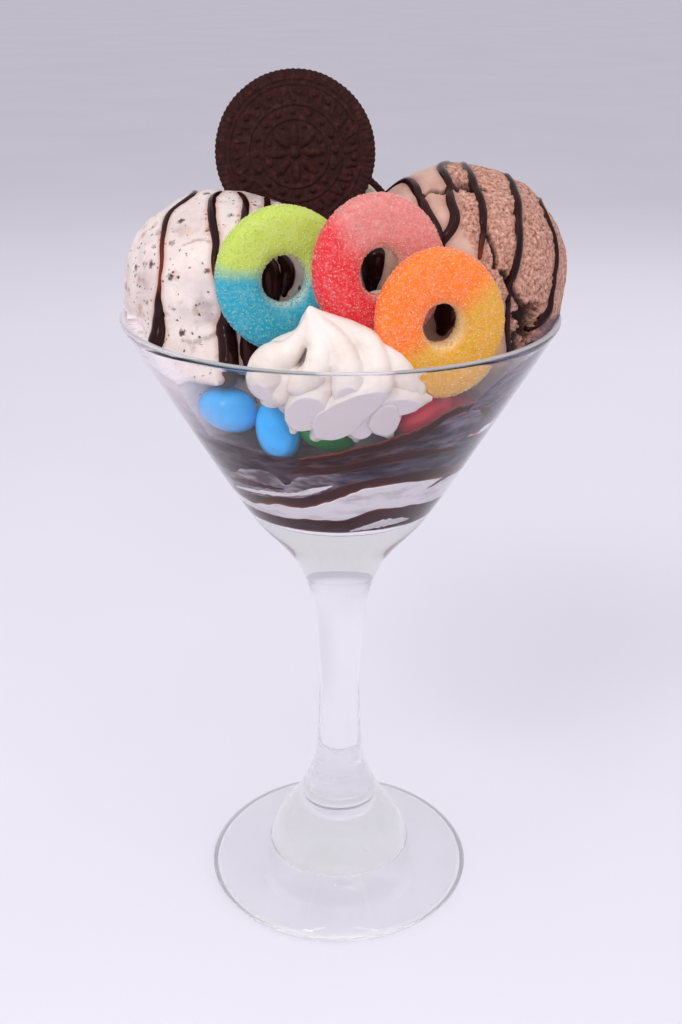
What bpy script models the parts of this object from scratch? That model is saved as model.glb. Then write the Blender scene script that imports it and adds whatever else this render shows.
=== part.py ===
"""Ice cream sundae in a stemmed cone glass.

A clear pressed glass with a solid base under its bowl holds layers of vanilla ice cream and
fudge sauce, two pressed scoops, five coated candies, a piped rosette of whipped cream, three
sugared gummy rings, a sandwich cookie and an opened half of a second one.

The glass stands on z = 0 with its axis on the Z axis. The front of the sundae looks along -Y.
Constants and helper arguments are in millimetres; meshes are written in metres.
"""

from math import atan2, cos, hypot, pi, radians, sin

import bmesh
import bpy
from mathutils import Matrix, Vector, noise

MM = 0.001
GAP = 0.3            # clearance left between neighbours
CUT_GAP = 0.4        # clearance of a pocket pressed by a neighbour

# Glass: height, wall and the stations (radius, height) of its turned outline.
RIM_Z = 175.8
WALL = 2.2
GLASS_STEPS = 30
BOWL_OUTSIDE = [(57.0, 174.9), (51.4, 165.0), (42.7, 150.0), (34.6, 136.0), (28.6, 126.0)]
SHOULDER_AND_STEM = [
    (28.6, 126.0), (23.4, 118.0), (14.2, 107.0), (9.3, 97.0), (7.2, 86.0), (6.1, 70.0),
    (5.95, 58.0), (6.8, 42.0), (8.4, 35.0), (12.6, 25.5), (18.6, 16.5), (21.2, 9.6),
]
FOOT = [(24.0, 8.5), (30.0, 6.4), (36.4, 4.3), (38.9, 2.4), (39.06, 1.2), (38.3, 0.0), (0.0, 0.0)]
CAVITY_FLOOR_Z = 119.6
CAVITY_FLOOR_RADIUS = 22.0
CAVITY_FLOOR_RISE = 3.8

# Base layers: mean height of each boundary, bottom to top, and the height of its waves.
LAYER_BOUNDARIES = [(126.6, 0.7), (134.6, 1.2), (138.2, 1.2), (143.2, 1.0), (147.6, 0.9)]
LAYER_NAMES = ["fudge_layer_1", "vanilla_layer_1", "fudge_layer_2", "vanilla_layer_2",
               "fudge_layer_3"]
LAYER_STEPS = 28
LAYER_RINGS = 2
LAYER_FOOT_INSET = 1.0           # the lowest layer's foot stays inside the dish's corner

# Scoops: name, centre, semi-axes, where melted ice cream fills out to the wall, noise seed.
SCOOPS = [
    ("scoop_cookies_and_cream", Vector((-29.4, 3.0, 183.0)), (26.2, 27.0, 21.8),
     Vector((-0.83, -0.55, 0.0)), 1.7),
    ("scoop_chocolate", Vector((30.6, 3.0, 184.8)), (27.4, 27.0, 27.3),
     Vector((0.9, -0.35, 0.0)), 6.4),
]
SCOOP_SEGMENTS = 28
SCOOP_RINGS = 14
SCOOP_FOOT_RADIUS = 24.0
SCOOP_LUMPS = 0.022              # height of the lumps as a part of the radius
SCOOP_LUMP_SCALE = 2.3
MELT_SIDE = (0.15, 0.7)          # how squarely a direction must face the melt to follow it
MELT_DEPTH = (0.24, 0.5)         # how far below the middle the melt begins
RIM_CLEARANCE = 1.6              # height over the rim where food may lean out
FREE_RADIUS = 54.2               # widest radius of food below that
BASE_CLEARANCE = 0.9             # from a scoop's underside to the base layers
CANDY_CLEARANCE = 1.0

# Gummy rings: name, centre, facing, spin in degrees, half width and half height.
RINGS = [
    ("ring_green_blue", Vector((-13.7, -25.8, 189.7)), Vector((0.24, -1.0, 0.02)), -8, 16.2, 17.2),
    ("ring_red_pink", Vector((8.9, -33.2, 193.2)), Vector((0.27, -1.0, 0.03)), 4, 15.7, 17.8),
    ("ring_orange_yellow", Vector((22.9, -39.0, 182.5)), Vector((0.24, -1.0, -0.06)), 8,
     15.2, 17.4),
]
RING_BAND = 10.0
RING_THICKNESS = 8.0
RING_SOFT = 2.2                  # where the rounding of the band's edges begins
RING_CORNER = 0.7                # what the rounding takes off a corner
RING_STEPS = 20

# Sandwich cookies.
COOKIE_RADIUS = 20.6
WAFER_THICKNESS = 3.0
WAFER_RELIEF = 0.5               # height of the raised bands, and the bevel of the edge
WAFER_BAND = (8.6, 9.2, 10.4, 11.0)
WAFER_RIM = (3.4, 2.6)           # inner foot and inner top of the raised rim, from the edge
COOKIE_CREAM_RADIUS = 18.6
COOKIE_CREAM_THICKNESS = 2.6
COOKIE_PITCH = WAFER_THICKNESS / 2 + GAP + COOKIE_CREAM_THICKNESS / 2
COOKIE_STEPS = 28
COOKIE_CENTRE = Vector((-11.7, 9.0, 214.0))      # middle of the front wafer
COOKIE_FACING = Vector((0.03, -0.99, 0.13))
HALF_COOKIE_SHIFT = Vector((8.2, 0.0, -23.0))    # from the first cookie, across its face

# Coated candies.
CANDY_LENGTH = 13.2
CANDY_WIDTH = 9.8
CANDY_SEGMENTS = 12
CANDY_RINGS = 8
# Name, centre, how far its long axis leans down from X, its turn about Z, in degrees.
CANDIES = [
    ("candy_blue_1", Vector((-27.1, -28.2, 157.7)), -14, -30),
    ("candy_blue_2", Vector((-15.2, -33.6, 155.0)), -76, -10),
    ("candy_green", Vector((-2.6, -31.6, 154.2)), -12, 5),
    ("candy_red_1", Vector((20.2, -32.8, 158.8)), 24, 22),
    ("candy_red_2", Vector((29.4, -22.2, 154.0)), 20, 40),
]

# Whipped cream rosette: (centre x, centre y, height, half width) from its tip to its peak.
CREAM_STATIONS = [
    (3.6, -38.6, 157.4, 0.0), (4.0, -39.0, 156.6, 9.0), (3.8, -39.4, 158.2, 14.4),
    (2.8, -41.0, 162.5, 17.2), (0.8, -42.6, 167.5, 18.2), (-1.2, -43.8, 172.0, 17.2),
    (-4.0, -44.4, 176.5, 14.4), (-5.4, -44.6, 180.0, 10.6), (-6.6, -44.6, 183.4, 5.2),
    (-7.0, -44.4, 187.2, 0.0),
]
CREAM_DEPTH_RATIO = 0.42
CREAM_LOBES = 8
CREAM_STEPS = 40
CREAM_LOBE_DEPTH = 0.24
CREAM_DROOP = 4.0
CREAM_TWIST = radians(60.0)
CREAM_MARGIN = 0.1               # kept from the glass beyond the usual gap


# --------------------------------------------------------------------------- scene helpers

def clear_scene():
    for obj in list(bpy.data.objects):
        bpy.data.objects.remove(obj, do_unlink=True)


def new_collection(name):
    collection = bpy.data.collections.new(name)
    bpy.context.scene.collection.children.link(collection)
    return collection


def material(name, colour, roughness, metallic=0.0, transmission=0.0):
    mat = bpy.data.materials.new(name)
    mat.use_nodes = True
    shader = mat.node_tree.nodes["Principled BSDF"]
    shader.inputs["Base Color"].default_value = (*colour, 1.0)
    shader.inputs["Roughness"].default_value = roughness
    shader.inputs["Metallic"].default_value = metallic
    shader.inputs["Transmission Weight"].default_value = transmission
    return mat


def add_object(name, mesh, collection, mat=None):
    obj = bpy.data.objects.new(name, mesh)
    collection.objects.link(obj)
    if mat:
        obj.data.materials.append(mat)
    return obj


def baked_mesh(obj):
    """The object's mesh with its modifiers worked in."""
    bpy.context.view_layer.update()
    depsgraph = bpy.context.evaluated_depsgraph_get()
    return bpy.data.meshes.new_from_object(obj.evaluated_get(depsgraph))


def turned(name, profile, steps, collection, mat, closed=False):
    """A turned body: the profile runs down its outer side, at +X."""
    mesh = bpy.data.meshes.new(name)
    points = [(radius * MM, 0.0, height * MM) for radius, height in profile]
    edges = [(i, i + 1) for i in range(len(points) - 1)]
    if closed:
        edges.append((len(points) - 1, 0))
    mesh.from_pydata(points, edges, [])
    obj = add_object(name, mesh, collection)
    screw = obj.modifiers.new("Turn", "SCREW")
    screw.steps = steps
    screw.render_steps = steps
    screw.use_merge_vertices = True
    screw.merge_threshold = 0.00002
    screw.use_smooth_shade = True
    mesh_turned = baked_mesh(obj)
    bpy.data.objects.remove(obj, do_unlink=True)
    mesh_turned.name = name
    mesh_turned.materials.clear()
    return add_object(name, mesh_turned, collection, mat)


def reshape(obj, move):
    """Move every vertex of an unplaced object; move() takes and gives millimetres."""
    for vertex in obj.data.vertices:
        vertex.co = move(vertex.co / MM) * MM
    obj.data.update()


def ball(name, segments, rings, collection, mat):
    """A unit ball of one millimetre, to be reshaped."""
    mesh = bpy.data.meshes.new(name)
    shape = bmesh.new()
    bmesh.ops.create_uvsphere(shape, u_segments=segments, v_segments=rings, radius=MM)
    shape.to_mesh(mesh)
    shape.free()
    mesh.shade_smooth()
    return add_object(name, mesh, collection, mat)


def facing_matrix(centre, facing, spin=0.0):
    """A place whose local Z looks along facing, local Y is up, then spun about local Z."""
    turn = facing.normalized().to_track_quat("Z", "Y").to_matrix().to_4x4()
    return Matrix.Translation(centre * MM) @ turn @ Matrix.Rotation(spin, 4, "Z")


def grown_cutter(source, collection, clearance=CUT_GAP):
    """A cutter that is the source grown by the clearance along its normals."""
    mesh = source.data.copy()
    mesh.transform(source.matrix_world)
    mesh.materials.clear()
    for vertex, normal in zip(mesh.vertices, [v.normal.copy() for v in mesh.vertices]):
        vertex.co += normal * clearance * MM
    return as_cutter(add_object("cut_" + source.name, mesh, collection))


def as_cutter(obj):
    obj.hide_render = True
    obj.display_type = "WIRE"
    return obj


def cut(target, cutters):
    """Press the cutters into the target, whose bent faces are made flat triangles first."""
    target.modifiers.new("Flat faces", "TRIANGULATE")
    for cutter in cutters:
        boolean = target.modifiers.new("Press " + cutter.name, "BOOLEAN")
        boolean.operation = "DIFFERENCE"
        boolean.solver = "EXACT"
        boolean.object = cutter


def between(value, low, high):
    """Smooth step from 0 at low to 1 at high."""
    t = min(max((value - low) / (high - low), 0.0), 1.0)
    return t * t * (3.0 - 2.0 * t)


# --------------------------------------------------------------------------- glass

def floor_height(radius):
    """Top of the glass under the food, a shallow dish."""
    return CAVITY_FLOOR_Z + CAVITY_FLOOR_RISE * (radius / CAVITY_FLOOR_RADIUS) ** 2


def inner_wall():
    """Stations of the bowl's inner wall, bottom to top: dish, corner and cone."""
    dish = [(radius, floor_height(radius)) for radius in (0.0, 8.0, 15.5, CAVITY_FLOOR_RADIUS)]
    corner = [(25.2, 125.6), (27.6, 128.2)]
    cone = [(radius - WALL, height) for radius, height in reversed(BOWL_OUTSIDE[1:-1])]
    return dish + corner + cone + [(54.9, 174.6)]


def wall_radius(height):
    """Radius free for food at a height, clear of the glass's facets."""
    stations = inner_wall()
    height = min(max(height, stations[0][1]), stations[-1][1])
    for (r0, z0), (r1, z1) in zip(stations, stations[1:]):
        if height <= z1:
            radius = r0 + (r1 - r0) * (height - z0) / (z1 - z0)
            break
    return max(radius * cos(pi / GLASS_STEPS) - GAP, 0.0)


def build_glass(collection, mat):
    rim = [(55.6, 175.7), (56.3, RIM_Z), (56.9, 175.5)]
    outside = BOWL_OUTSIDE[:-1] + SHOULDER_AND_STEM + FOOT
    turned("glass", inner_wall() + rim + outside, GLASS_STEPS, collection, mat)


# --------------------------------------------------------------------------- base layers

def boundary_height(index, radius, angle):
    """Height of a wavy boundary between two base layers."""
    mean, wave = LAYER_BOUNDARIES[index]
    swing = sin(2 * angle + 1.3 * index) + 0.6 * sin(5 * angle + 2.1 * index)
    return mean + wave * swing * radius / wall_radius(mean)


def wall_at_boundary(index, angle, offset):
    """Radius where a boundary meets the food's side."""
    radius = wall_radius(LAYER_BOUNDARIES[index][0])
    for _ in range(6):
        radius = wall_radius(boundary_height(index, radius, angle) + offset)
    return radius


def build_layer(index, collection, mat):
    """A disc of LAYER_RINGS rings whose faces follow the boundaries below and above it."""
    top = [(i / LAYER_RINGS, 1.0) for i in range(LAYER_RINGS + 1)]
    bottom = [(share, 0.0) for share, _ in reversed(top)]
    layer = turned(LAYER_NAMES[index], top + bottom, LAYER_STEPS, collection, mat)

    def move(co):
        share = hypot(co.x, co.y)
        angle = atan2(co.y, co.x)
        if co.z > 0.5:
            radius = share * wall_at_boundary(index, angle, -GAP / 2)
            height = boundary_height(index, radius, angle) - GAP / 2
        elif index > 0:
            radius = share * wall_at_boundary(index - 1, angle, GAP / 2)
            height = boundary_height(index - 1, radius, angle) + GAP / 2
        else:
            radius = share * (CAVITY_FLOOR_RADIUS - LAYER_FOOT_INSET)
            height = floor_height(radius) + 2 * GAP
        return Vector((radius * cos(angle), radius * sin(angle), height))

    reshape(layer, move)
    return layer


def base_top(x, y):
    radius = min(hypot(x, y), wall_radius(LAYER_BOUNDARIES[-1][0]))
    return boundary_height(len(LAYER_BOUNDARIES) - 1, radius, atan2(y, x))


# --------------------------------------------------------------------------- scoops

def in_bowl(point, margin=0.0):
    """True where food clears the glass: inside its wall, or well above its rim."""
    if point.z < RIM_Z + RIM_CLEARANCE:
        return hypot(point.x, point.y) <= min(wall_radius(point.z), FREE_RADIUS) - margin
    return True


def reach(centre, direction, inside, limit=70.0):
    """How far a ray from the centre stays inside."""
    low, high = 0.0, limit
    for _ in range(22):
        middle = (low + high) / 2
        if inside(centre + direction * middle):
            low = middle
        else:
            high = middle
    return low


def build_scoop(name, centre, axes, melt_direction, seed, collection, mat):
    side = 1.0 if centre.x > 0 else -1.0
    melt_direction = melt_direction.normalized()

    def allowed(point):
        above_base = point.z > base_top(point.x, point.y) + BASE_CLEARANCE
        clear = all((point - candy).length > CANDY_LENGTH / 2 + CANDY_CLEARANCE
                    for _, candy, _, _ in CANDIES)
        return above_base and clear and point.x * side > GAP and in_bowl(point)

    def in_foot(point):
        in_column = hypot(point.x - centre.x, point.y - centre.y) < SCOOP_FOOT_RADIUS
        return in_column and allowed(point)

    def move(co):
        ray = co.normalized()
        scaled = Vector((ray.x / axes[0], ray.y / axes[1], ray.z / axes[2]))
        lumps = 1.0 + SCOOP_LUMPS * noise.noise(ray * SCOOP_LUMP_SCALE + Vector((seed, 0, 0)))
        ball_reach = lumps / scaled.length
        free_reach = reach(centre, ray, allowed)
        flat = Vector((ray.x, ray.y, 0.0))
        outward = flat.normalized().dot(melt_direction) if flat.length > 0.05 else 0.0
        melt = between(outward, *MELT_SIDE) * between(-ray.z, *MELT_DEPTH)
        foot_reach = reach(centre, ray, in_foot) if ray.z < 0 else 0.0
        far = max(ball_reach, foot_reach)
        far += max(free_reach - far, 0.0) * melt
        return centre + ray * min(far, free_reach)

    scoop = ball(name, SCOOP_SEGMENTS, SCOOP_RINGS, collection, mat)
    reshape(scoop, move)
    return scoop


# --------------------------------------------------------------------------- toppings

def ring_outline(half_width, half):
    """The outer side of a ring's band, face to face, with soft edges."""
    return [(half_width - RING_SOFT, half), (half_width - RING_CORNER, half - RING_CORNER),
            (half_width, half - RING_SOFT), (half_width, RING_SOFT - half),
            (half_width - RING_CORNER, RING_CORNER - half), (half_width - RING_SOFT, -half)]


def build_ring(name, centre, facing, spin, half_width, half_height, collection, mat):
    """A gummy ring: a rounded square band turned, then drawn out a little taller than wide."""
    inner = half_width - RING_BAND
    half = RING_THICKNESS / 2
    hole = [(inner + RING_SOFT, -half), (inner, RING_SOFT - half), (inner, half - RING_SOFT),
            (inner + RING_SOFT, half)]
    band = ring_outline(half_width, half) + hole
    ring = turned(name, band, RING_STEPS, collection, mat, closed=True)
    stretch = half_height / half_width
    reshape(ring, lambda co: Vector((co.x, co.y * stretch, co.z)))
    ring.matrix_world = facing_matrix(centre, facing, radians(spin))
    return ring


def ring_pad(ring, half_width, half_height, collection):
    """A cutter of a ring's outer outline, with its hole filled."""
    width = half_width + CUT_GAP
    half = RING_THICKNESS / 2 + CUT_GAP
    outline = [(0.0, half)] + ring_outline(width, half) + [(0.0, -half)]
    pad = turned("pad_" + ring.name, outline, RING_STEPS, collection, None)
    stretch = (half_height + CUT_GAP) / width
    reshape(pad, lambda co: Vector((co.x, co.y * stretch, co.z)))
    pad.data.transform(ring.matrix_world)
    return as_cutter(pad)


def cookie_place(slice_number, shift=Vector()):
    """The place of a slice of the cookie stack, counted from the front wafer."""
    depth = COOKIE_FACING.normalized() * slice_number * COOKIE_PITCH
    return facing_matrix(COOKIE_CENTRE - depth + shift, COOKIE_FACING)


def cookie_slot(name, place, slices, collection):
    """A plain disc cutter that clears a stack of slices, the first with its middle at place."""
    depth = (slices - 1) * COOKIE_PITCH + WAFER_THICKNESS + 2 * CUT_GAP
    shape = bmesh.new()
    radius = (COOKIE_RADIUS + 2 * CUT_GAP) * MM
    bmesh.ops.create_cone(shape, cap_ends=True, segments=COOKIE_STEPS, radius1=radius,
                          radius2=radius, depth=depth * MM)
    middle = Vector((0.0, 0.0, -(slices - 1) * COOKIE_PITCH / 2 * MM))
    shape.transform(place @ Matrix.Translation(middle))
    mesh = bpy.data.meshes.new(name)
    shape.to_mesh(mesh)
    shape.free()
    return as_cutter(add_object(name, mesh, collection))


def build_wafer(name, place, collection, mat):
    """A wafer with a raised, bevelled rim and a raised ring on its outer face."""
    half = WAFER_THICKNESS / 2
    low = half - WAFER_RELIEF
    radius = COOKIE_RADIUS
    bevelled = radius - WAFER_RELIEF
    profile = [(0.0, low), (WAFER_BAND[0], low), (WAFER_BAND[1], half), (WAFER_BAND[2], half),
               (WAFER_BAND[3], low), (radius - WAFER_RIM[0], low), (radius - WAFER_RIM[1], half),
               (bevelled, half), (radius, low), (radius, -low), (bevelled, -half), (0.0, -half)]
    wafer = turned(name, profile, COOKIE_STEPS, collection, mat)
    wafer.matrix_world = place
    return wafer


def build_cookie_cream(name, place, collection, mat):
    half = COOKIE_CREAM_THICKNESS / 2
    radius = COOKIE_CREAM_RADIUS
    profile = [(0.0, half), (radius - 0.7, half), (radius, half - 0.6), (radius, 0.6 - half),
               (radius - 0.7, -half), (0.0, -half)]
    filling = turned(name, profile, COOKIE_STEPS, collection, mat)
    filling.matrix_world = place
    return filling


def build_candy(name, centre, lean, turn, collection, mat):
    """An egg-shaped coated candy; lean tips its long axis from X, turn spins it about Z."""
    candy = ball(name, CANDY_SEGMENTS, CANDY_RINGS, collection, mat)
    half = Vector((CANDY_WIDTH / 2, CANDY_WIDTH / 2, CANDY_LENGTH / 2))
    reshape(candy, lambda co: Vector((co.x * half.x, co.y * half.y, co.z * half.z)))
    tip = Matrix.Rotation(radians(turn), 4, "Z") @ Matrix.Rotation(radians(90 - lean), 4, "Y")
    candy.matrix_world = Matrix.Translation(centre * MM) @ tip
    return candy


def build_whipped_cream(collection, mat):
    """A piped rosette: twisted lobes on a leaning stack of ovals, flattened by the wall."""
    rings = len(CREAM_STATIONS) - 1
    profile = [(1.0 if 0 < i < rings else 0.0, float(rings - i)) for i in range(rings + 1)]
    cream = turned("whipped_cream", profile, CREAM_STEPS, collection, mat)

    def move(co):
        share = hypot(co.x, co.y)
        angle = atan2(co.y, co.x)
        x, y, height, half_width = CREAM_STATIONS[round(co.z)]
        twist = CREAM_TWIST * co.z / rings
        lobe = abs(sin(CREAM_LOBES * (angle - twist) / 2))
        width = half_width * share * (1.0 - CREAM_LOBE_DEPTH + 2 * CREAM_LOBE_DEPTH * lobe)
        height -= CREAM_DROOP * share * (lobe - 0.4) * (1.0 - co.z / rings)
        point = Vector((x + width * cos(angle),
                        y + width * CREAM_DEPTH_RATIO * sin(angle), height))
        centre = Vector((x, y, height))
        out = point - centre
        if out.length > 0.01 and not in_bowl(point, CREAM_MARGIN):
            far = reach(centre, out.normalized(), lambda p: in_bowl(p, CREAM_MARGIN))
            point = centre + out.normalized() * far
        return point

    reshape(cream, move)
    return cream


# --------------------------------------------------------------------------- the sundae

def build_sundae():
    clear_scene()
    sundae = new_collection("ice_cream_sundae")
    cutters = new_collection("cutters")

    clear_glass = material("clear_glass", (0.93, 0.93, 0.96), 0.05, transmission=1.0)
    fudge = material("fudge_sauce", (0.045, 0.018, 0.014), 0.25)
    vanilla = material("vanilla_ice_cream", (0.72, 0.68, 0.70), 0.5)
    cookie_ice = material("cookies_and_cream_ice_cream", (0.74, 0.66, 0.64), 0.55)
    chocolate_ice = material("chocolate_ice_cream", (0.42, 0.26, 0.20), 0.6)
    whipped = material("whipped_cream", (0.88, 0.86, 0.85), 0.45)
    wafer = material("cocoa_wafer", (0.045, 0.018, 0.018), 0.7)
    filling = material("cookie_cream", (0.80, 0.77, 0.62), 0.6)
    gummy_green = material("gummy_green_blue", (0.30, 0.62, 0.35), 0.6)
    gummy_red = material("gummy_red_pink", (0.80, 0.10, 0.10), 0.6)
    gummy_orange = material("gummy_orange_yellow", (0.90, 0.40, 0.04), 0.6)
    blue = material("candy_blue", (0.05, 0.32, 0.80), 0.2)
    green = material("candy_green", (0.05, 0.35, 0.10), 0.2)
    red = material("candy_red", (0.55, 0.03, 0.06), 0.2)

    build_glass(sundae, clear_glass)

    gummies = [gummy_green, gummy_red, gummy_orange]
    rings = [build_ring(*row, sundae, mat) for row, mat in zip(RINGS, gummies)]
    shells = [blue, blue, green, red, red]
    candies = [build_candy(*row, sundae, mat) for row, mat in zip(CANDIES, shells)]

    places = [cookie_place(i) for i in range(3)]
    half_places = [cookie_place(i, HALF_COOKIE_SHIFT) for i in range(3, 5)]
    look_back = Matrix.Rotation(pi, 4, "Y")
    build_wafer("cookie_front_wafer", places[0], sundae, wafer)
    build_cookie_cream("cookie_cream", places[1], sundae, filling)
    build_wafer("cookie_back_wafer", places[2] @ look_back, sundae, wafer)
    build_cookie_cream("half_cookie_cream", half_places[0], sundae, filling)
    build_wafer("half_cookie_wafer", half_places[1] @ look_back, sundae, wafer)

    layers = [build_layer(i, sundae, fudge if i % 2 == 0 else vanilla)
              for i in range(len(LAYER_NAMES))]
    scoops = [build_scoop(*row, sundae, mat)
              for row, mat in zip(SCOOPS, (cookie_ice, chocolate_ice))]
    cream = build_whipped_cream(sundae, whipped)

    bpy.context.view_layer.update()
    slots = [cookie_slot("slot_cookie", places[0], 3, cutters),
             cookie_slot("slot_half_cookie", half_places[0], 2, cutters)]
    candy_cutters = [grown_cutter(piece, cutters) for piece in candies]
    pads = [ring_pad(piece, row[4], row[5], cutters) for piece, row in zip(rings, RINGS)]
    for scoop in scoops:
        cut(scoop, slots + candy_cutters)
    cut(cream, candy_cutters + pads)
    cut(layers[-1], candy_cutters)


build_sundae()
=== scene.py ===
# %% [markdown]
# # Ice cream sundae in a stemmed cone glass
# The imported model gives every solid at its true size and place. This lesson dresses it: a clear
# turned glass, ice cream with crumbs, glossy syrup, sugared gummy rings, embossed cookies and
# piped cream. Each step first says what the piece is and why it is made the way it is.

from math import atan2, cos, degrees, hypot, pi, radians, sin, sqrt

import bmesh
import bpy
from mathutils import Euler, Matrix, Vector, noise
from mathutils.bvhtree import BVHTree
from mathutils.kdtree import KDTree
from random import Random


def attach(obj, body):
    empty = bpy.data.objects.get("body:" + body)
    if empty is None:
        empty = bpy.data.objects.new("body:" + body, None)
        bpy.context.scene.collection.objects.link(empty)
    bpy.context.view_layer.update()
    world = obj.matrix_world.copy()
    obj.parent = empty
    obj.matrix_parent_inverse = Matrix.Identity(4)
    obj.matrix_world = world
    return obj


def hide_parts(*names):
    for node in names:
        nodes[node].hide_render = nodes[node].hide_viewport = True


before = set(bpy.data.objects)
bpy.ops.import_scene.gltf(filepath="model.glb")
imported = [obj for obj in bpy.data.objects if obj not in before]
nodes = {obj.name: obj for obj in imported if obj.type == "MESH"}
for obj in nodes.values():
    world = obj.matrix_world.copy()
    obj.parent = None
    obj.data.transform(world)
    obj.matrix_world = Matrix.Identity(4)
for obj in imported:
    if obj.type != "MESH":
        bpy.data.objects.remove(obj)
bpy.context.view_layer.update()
MM = 0.001

# %% [markdown]
# ## Camera, floor and light
# The sundae is seen from a little above its rim, so that the foot of the glass shows as a full
# ellipse. A clear glass shows what stands round it, so floor and world share one pale tone and
# the stem looks pale too. Wide soft lights light the sundae but are hidden from reflections;
# narrow strips and a small glint make the reflections, and the glass paints its pale rim line
# as a highlight.

# %% Place the camera
camera_data = bpy.data.cameras.new("camera")
camera_data.lens = 45.33
camera_data.sensor_width = 36.0
camera_data.clip_start = 0.01
camera = bpy.data.objects.new("camera", camera_data)
bpy.context.collection.objects.link(camera)
look_down = Matrix.Rotation(radians(90.0 - 23.285), 4, "X")
roll = Matrix.Rotation(radians(0.2), 4, "Z")
camera.matrix_world = Matrix.Translation((0.0003, -0.3298, 0.26)) @ look_down @ roll
bpy.context.scene.camera = camera
bpy.context.scene.view_settings.view_transform = "Standard"
print("camera at", [round(v, 3) for v in camera.location])

# %% Helpers for materials
def srgb(red, green, blue):
    """A linear colour from the usual 0 to 255 numbers."""
    def linear(value):
        value /= 255.0
        return value / 12.92 if value <= 0.04045 else ((value + 0.055) / 1.055) ** 2.4
    return (linear(red), linear(green), linear(blue), 1.0)


def principled(name, colour, roughness, **more):
    """A new material; more gives further shader sockets, with _ for a space."""
    mat = bpy.data.materials.new(name)
    mat.use_nodes = True
    shader = mat.node_tree.nodes["Principled BSDF"]
    shader.inputs["Base Color"].default_value = colour
    shader.inputs["Roughness"].default_value = roughness
    for socket, value in more.items():
        shader.inputs[socket.replace("_", " ")].default_value = value
    return mat


def socket_of(end):
    """An output socket: a node stands for its first output."""
    return end.outputs[0] if isinstance(end, bpy.types.Node) else end


def add(mat, kind, settings=None, **inputs):
    """Adds a node. settings sets its options; inputs sets or links its sockets by name or n0, n1."""
    made = mat.node_tree.nodes.new("ShaderNode" + kind)
    for option, value in (settings or {}).items():
        setattr(made, option, value)
    for key, value in inputs.items():
        if key[0] == "n" and key[1:].isdigit():
            socket = made.inputs[int(key[1:])]
        else:
            socket = made.inputs[key.replace("_", " ")]
        if isinstance(value, (bpy.types.Node, bpy.types.NodeSocket)):
            mat.node_tree.links.new(socket_of(value), socket)
        else:
            socket.default_value = value
    return made


def feed(mat, socket, end):
    """Links an output into a socket of the material's shader."""
    shader = mat.node_tree.nodes["Principled BSDF"]
    mat.node_tree.links.new(socket_of(end), shader.inputs[socket])


def object_place(mat, scale=(1.0, 1.0, 1.0), location=(0.0, 0.0, 0.0), rotation=(0.0, 0.0, 0.0)):
    """Object coordinates in millimetres, moved, turned and stretched."""
    place = add(mat, "TexCoord").outputs["Object"]
    return add(mat, "Mapping", Vector=place, Location=location, Rotation=rotation,
               Scale=tuple(1000.0 * s for s in scale))


def ramp(mat, value, *stops):
    """A colour ramp through (position, colour or number) stops."""
    made = add(mat, "ValToRGB", Fac=value)
    elements = made.color_ramp.elements
    while len(elements) < len(stops):
        elements.new(0.5)
    for element, (position, shade) in zip(elements, stops):
        element.position = position
        element.color = shade if isinstance(shade, tuple) else (shade, shade, shade, 1.0)
    return made


def noise_at(mat, place, scale, detail=3.0, roughness=0.5):
    """Soft noise; scale is in features per millimetre."""
    return add(mat, "TexNoise", Vector=place, Scale=scale, Detail=detail, Roughness=roughness)


def mix(mat, factor, first, second, blend="MIX"):
    """Mixes two colours."""
    return add(mat, "MixRGB", {"blend_type": blend}, Fac=factor, Color1=first, Color2=second)


def maths(mat, operation, first, second=0.0):
    return add(mat, "Math", {"operation": operation}, n0=first, n1=second)


def bump(mat, height, distance_mm, strength=0.5, after=None):
    """Feeds a bump of that height into the shader, on top of an earlier one if given."""
    made = add(mat, "Bump", Height=height, Distance=distance_mm * MM, Strength=strength)
    if after:
        mat.node_tree.links.new(after.outputs[0], made.inputs["Normal"])
    feed(mat, "Normal", made)
    return made


# %% Floor, world and lights
PALE = srgb(227, 224, 233)
bpy.ops.mesh.primitive_plane_add(size=200.0, location=(0.0, 0.0, 0.0))
floor = bpy.context.object
floor.name = "floor"
floor_paint = principled("floor_paint", PALE, 0.9, Specular_IOR_Level=0.1)
floor_place = object_place(floor_paint)
floor_tone = noise_at(floor_paint, floor_place, 0.004)
feed(floor_paint, "Base Color", ramp(floor_paint, floor_tone, (0.3, srgb(225, 222, 231)),
                                     (0.7, srgb(229, 226, 235))))
floor.data.materials.append(floor_paint)

world = bpy.data.worlds.new("pale_studio")
bpy.context.scene.world = world
world.use_nodes = True
world.node_tree.nodes["Background"].inputs[0].default_value = (0.86, 0.845, 0.90, 1.0)
world.node_tree.nodes["Background"].inputs[1].default_value = 0.78

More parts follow.
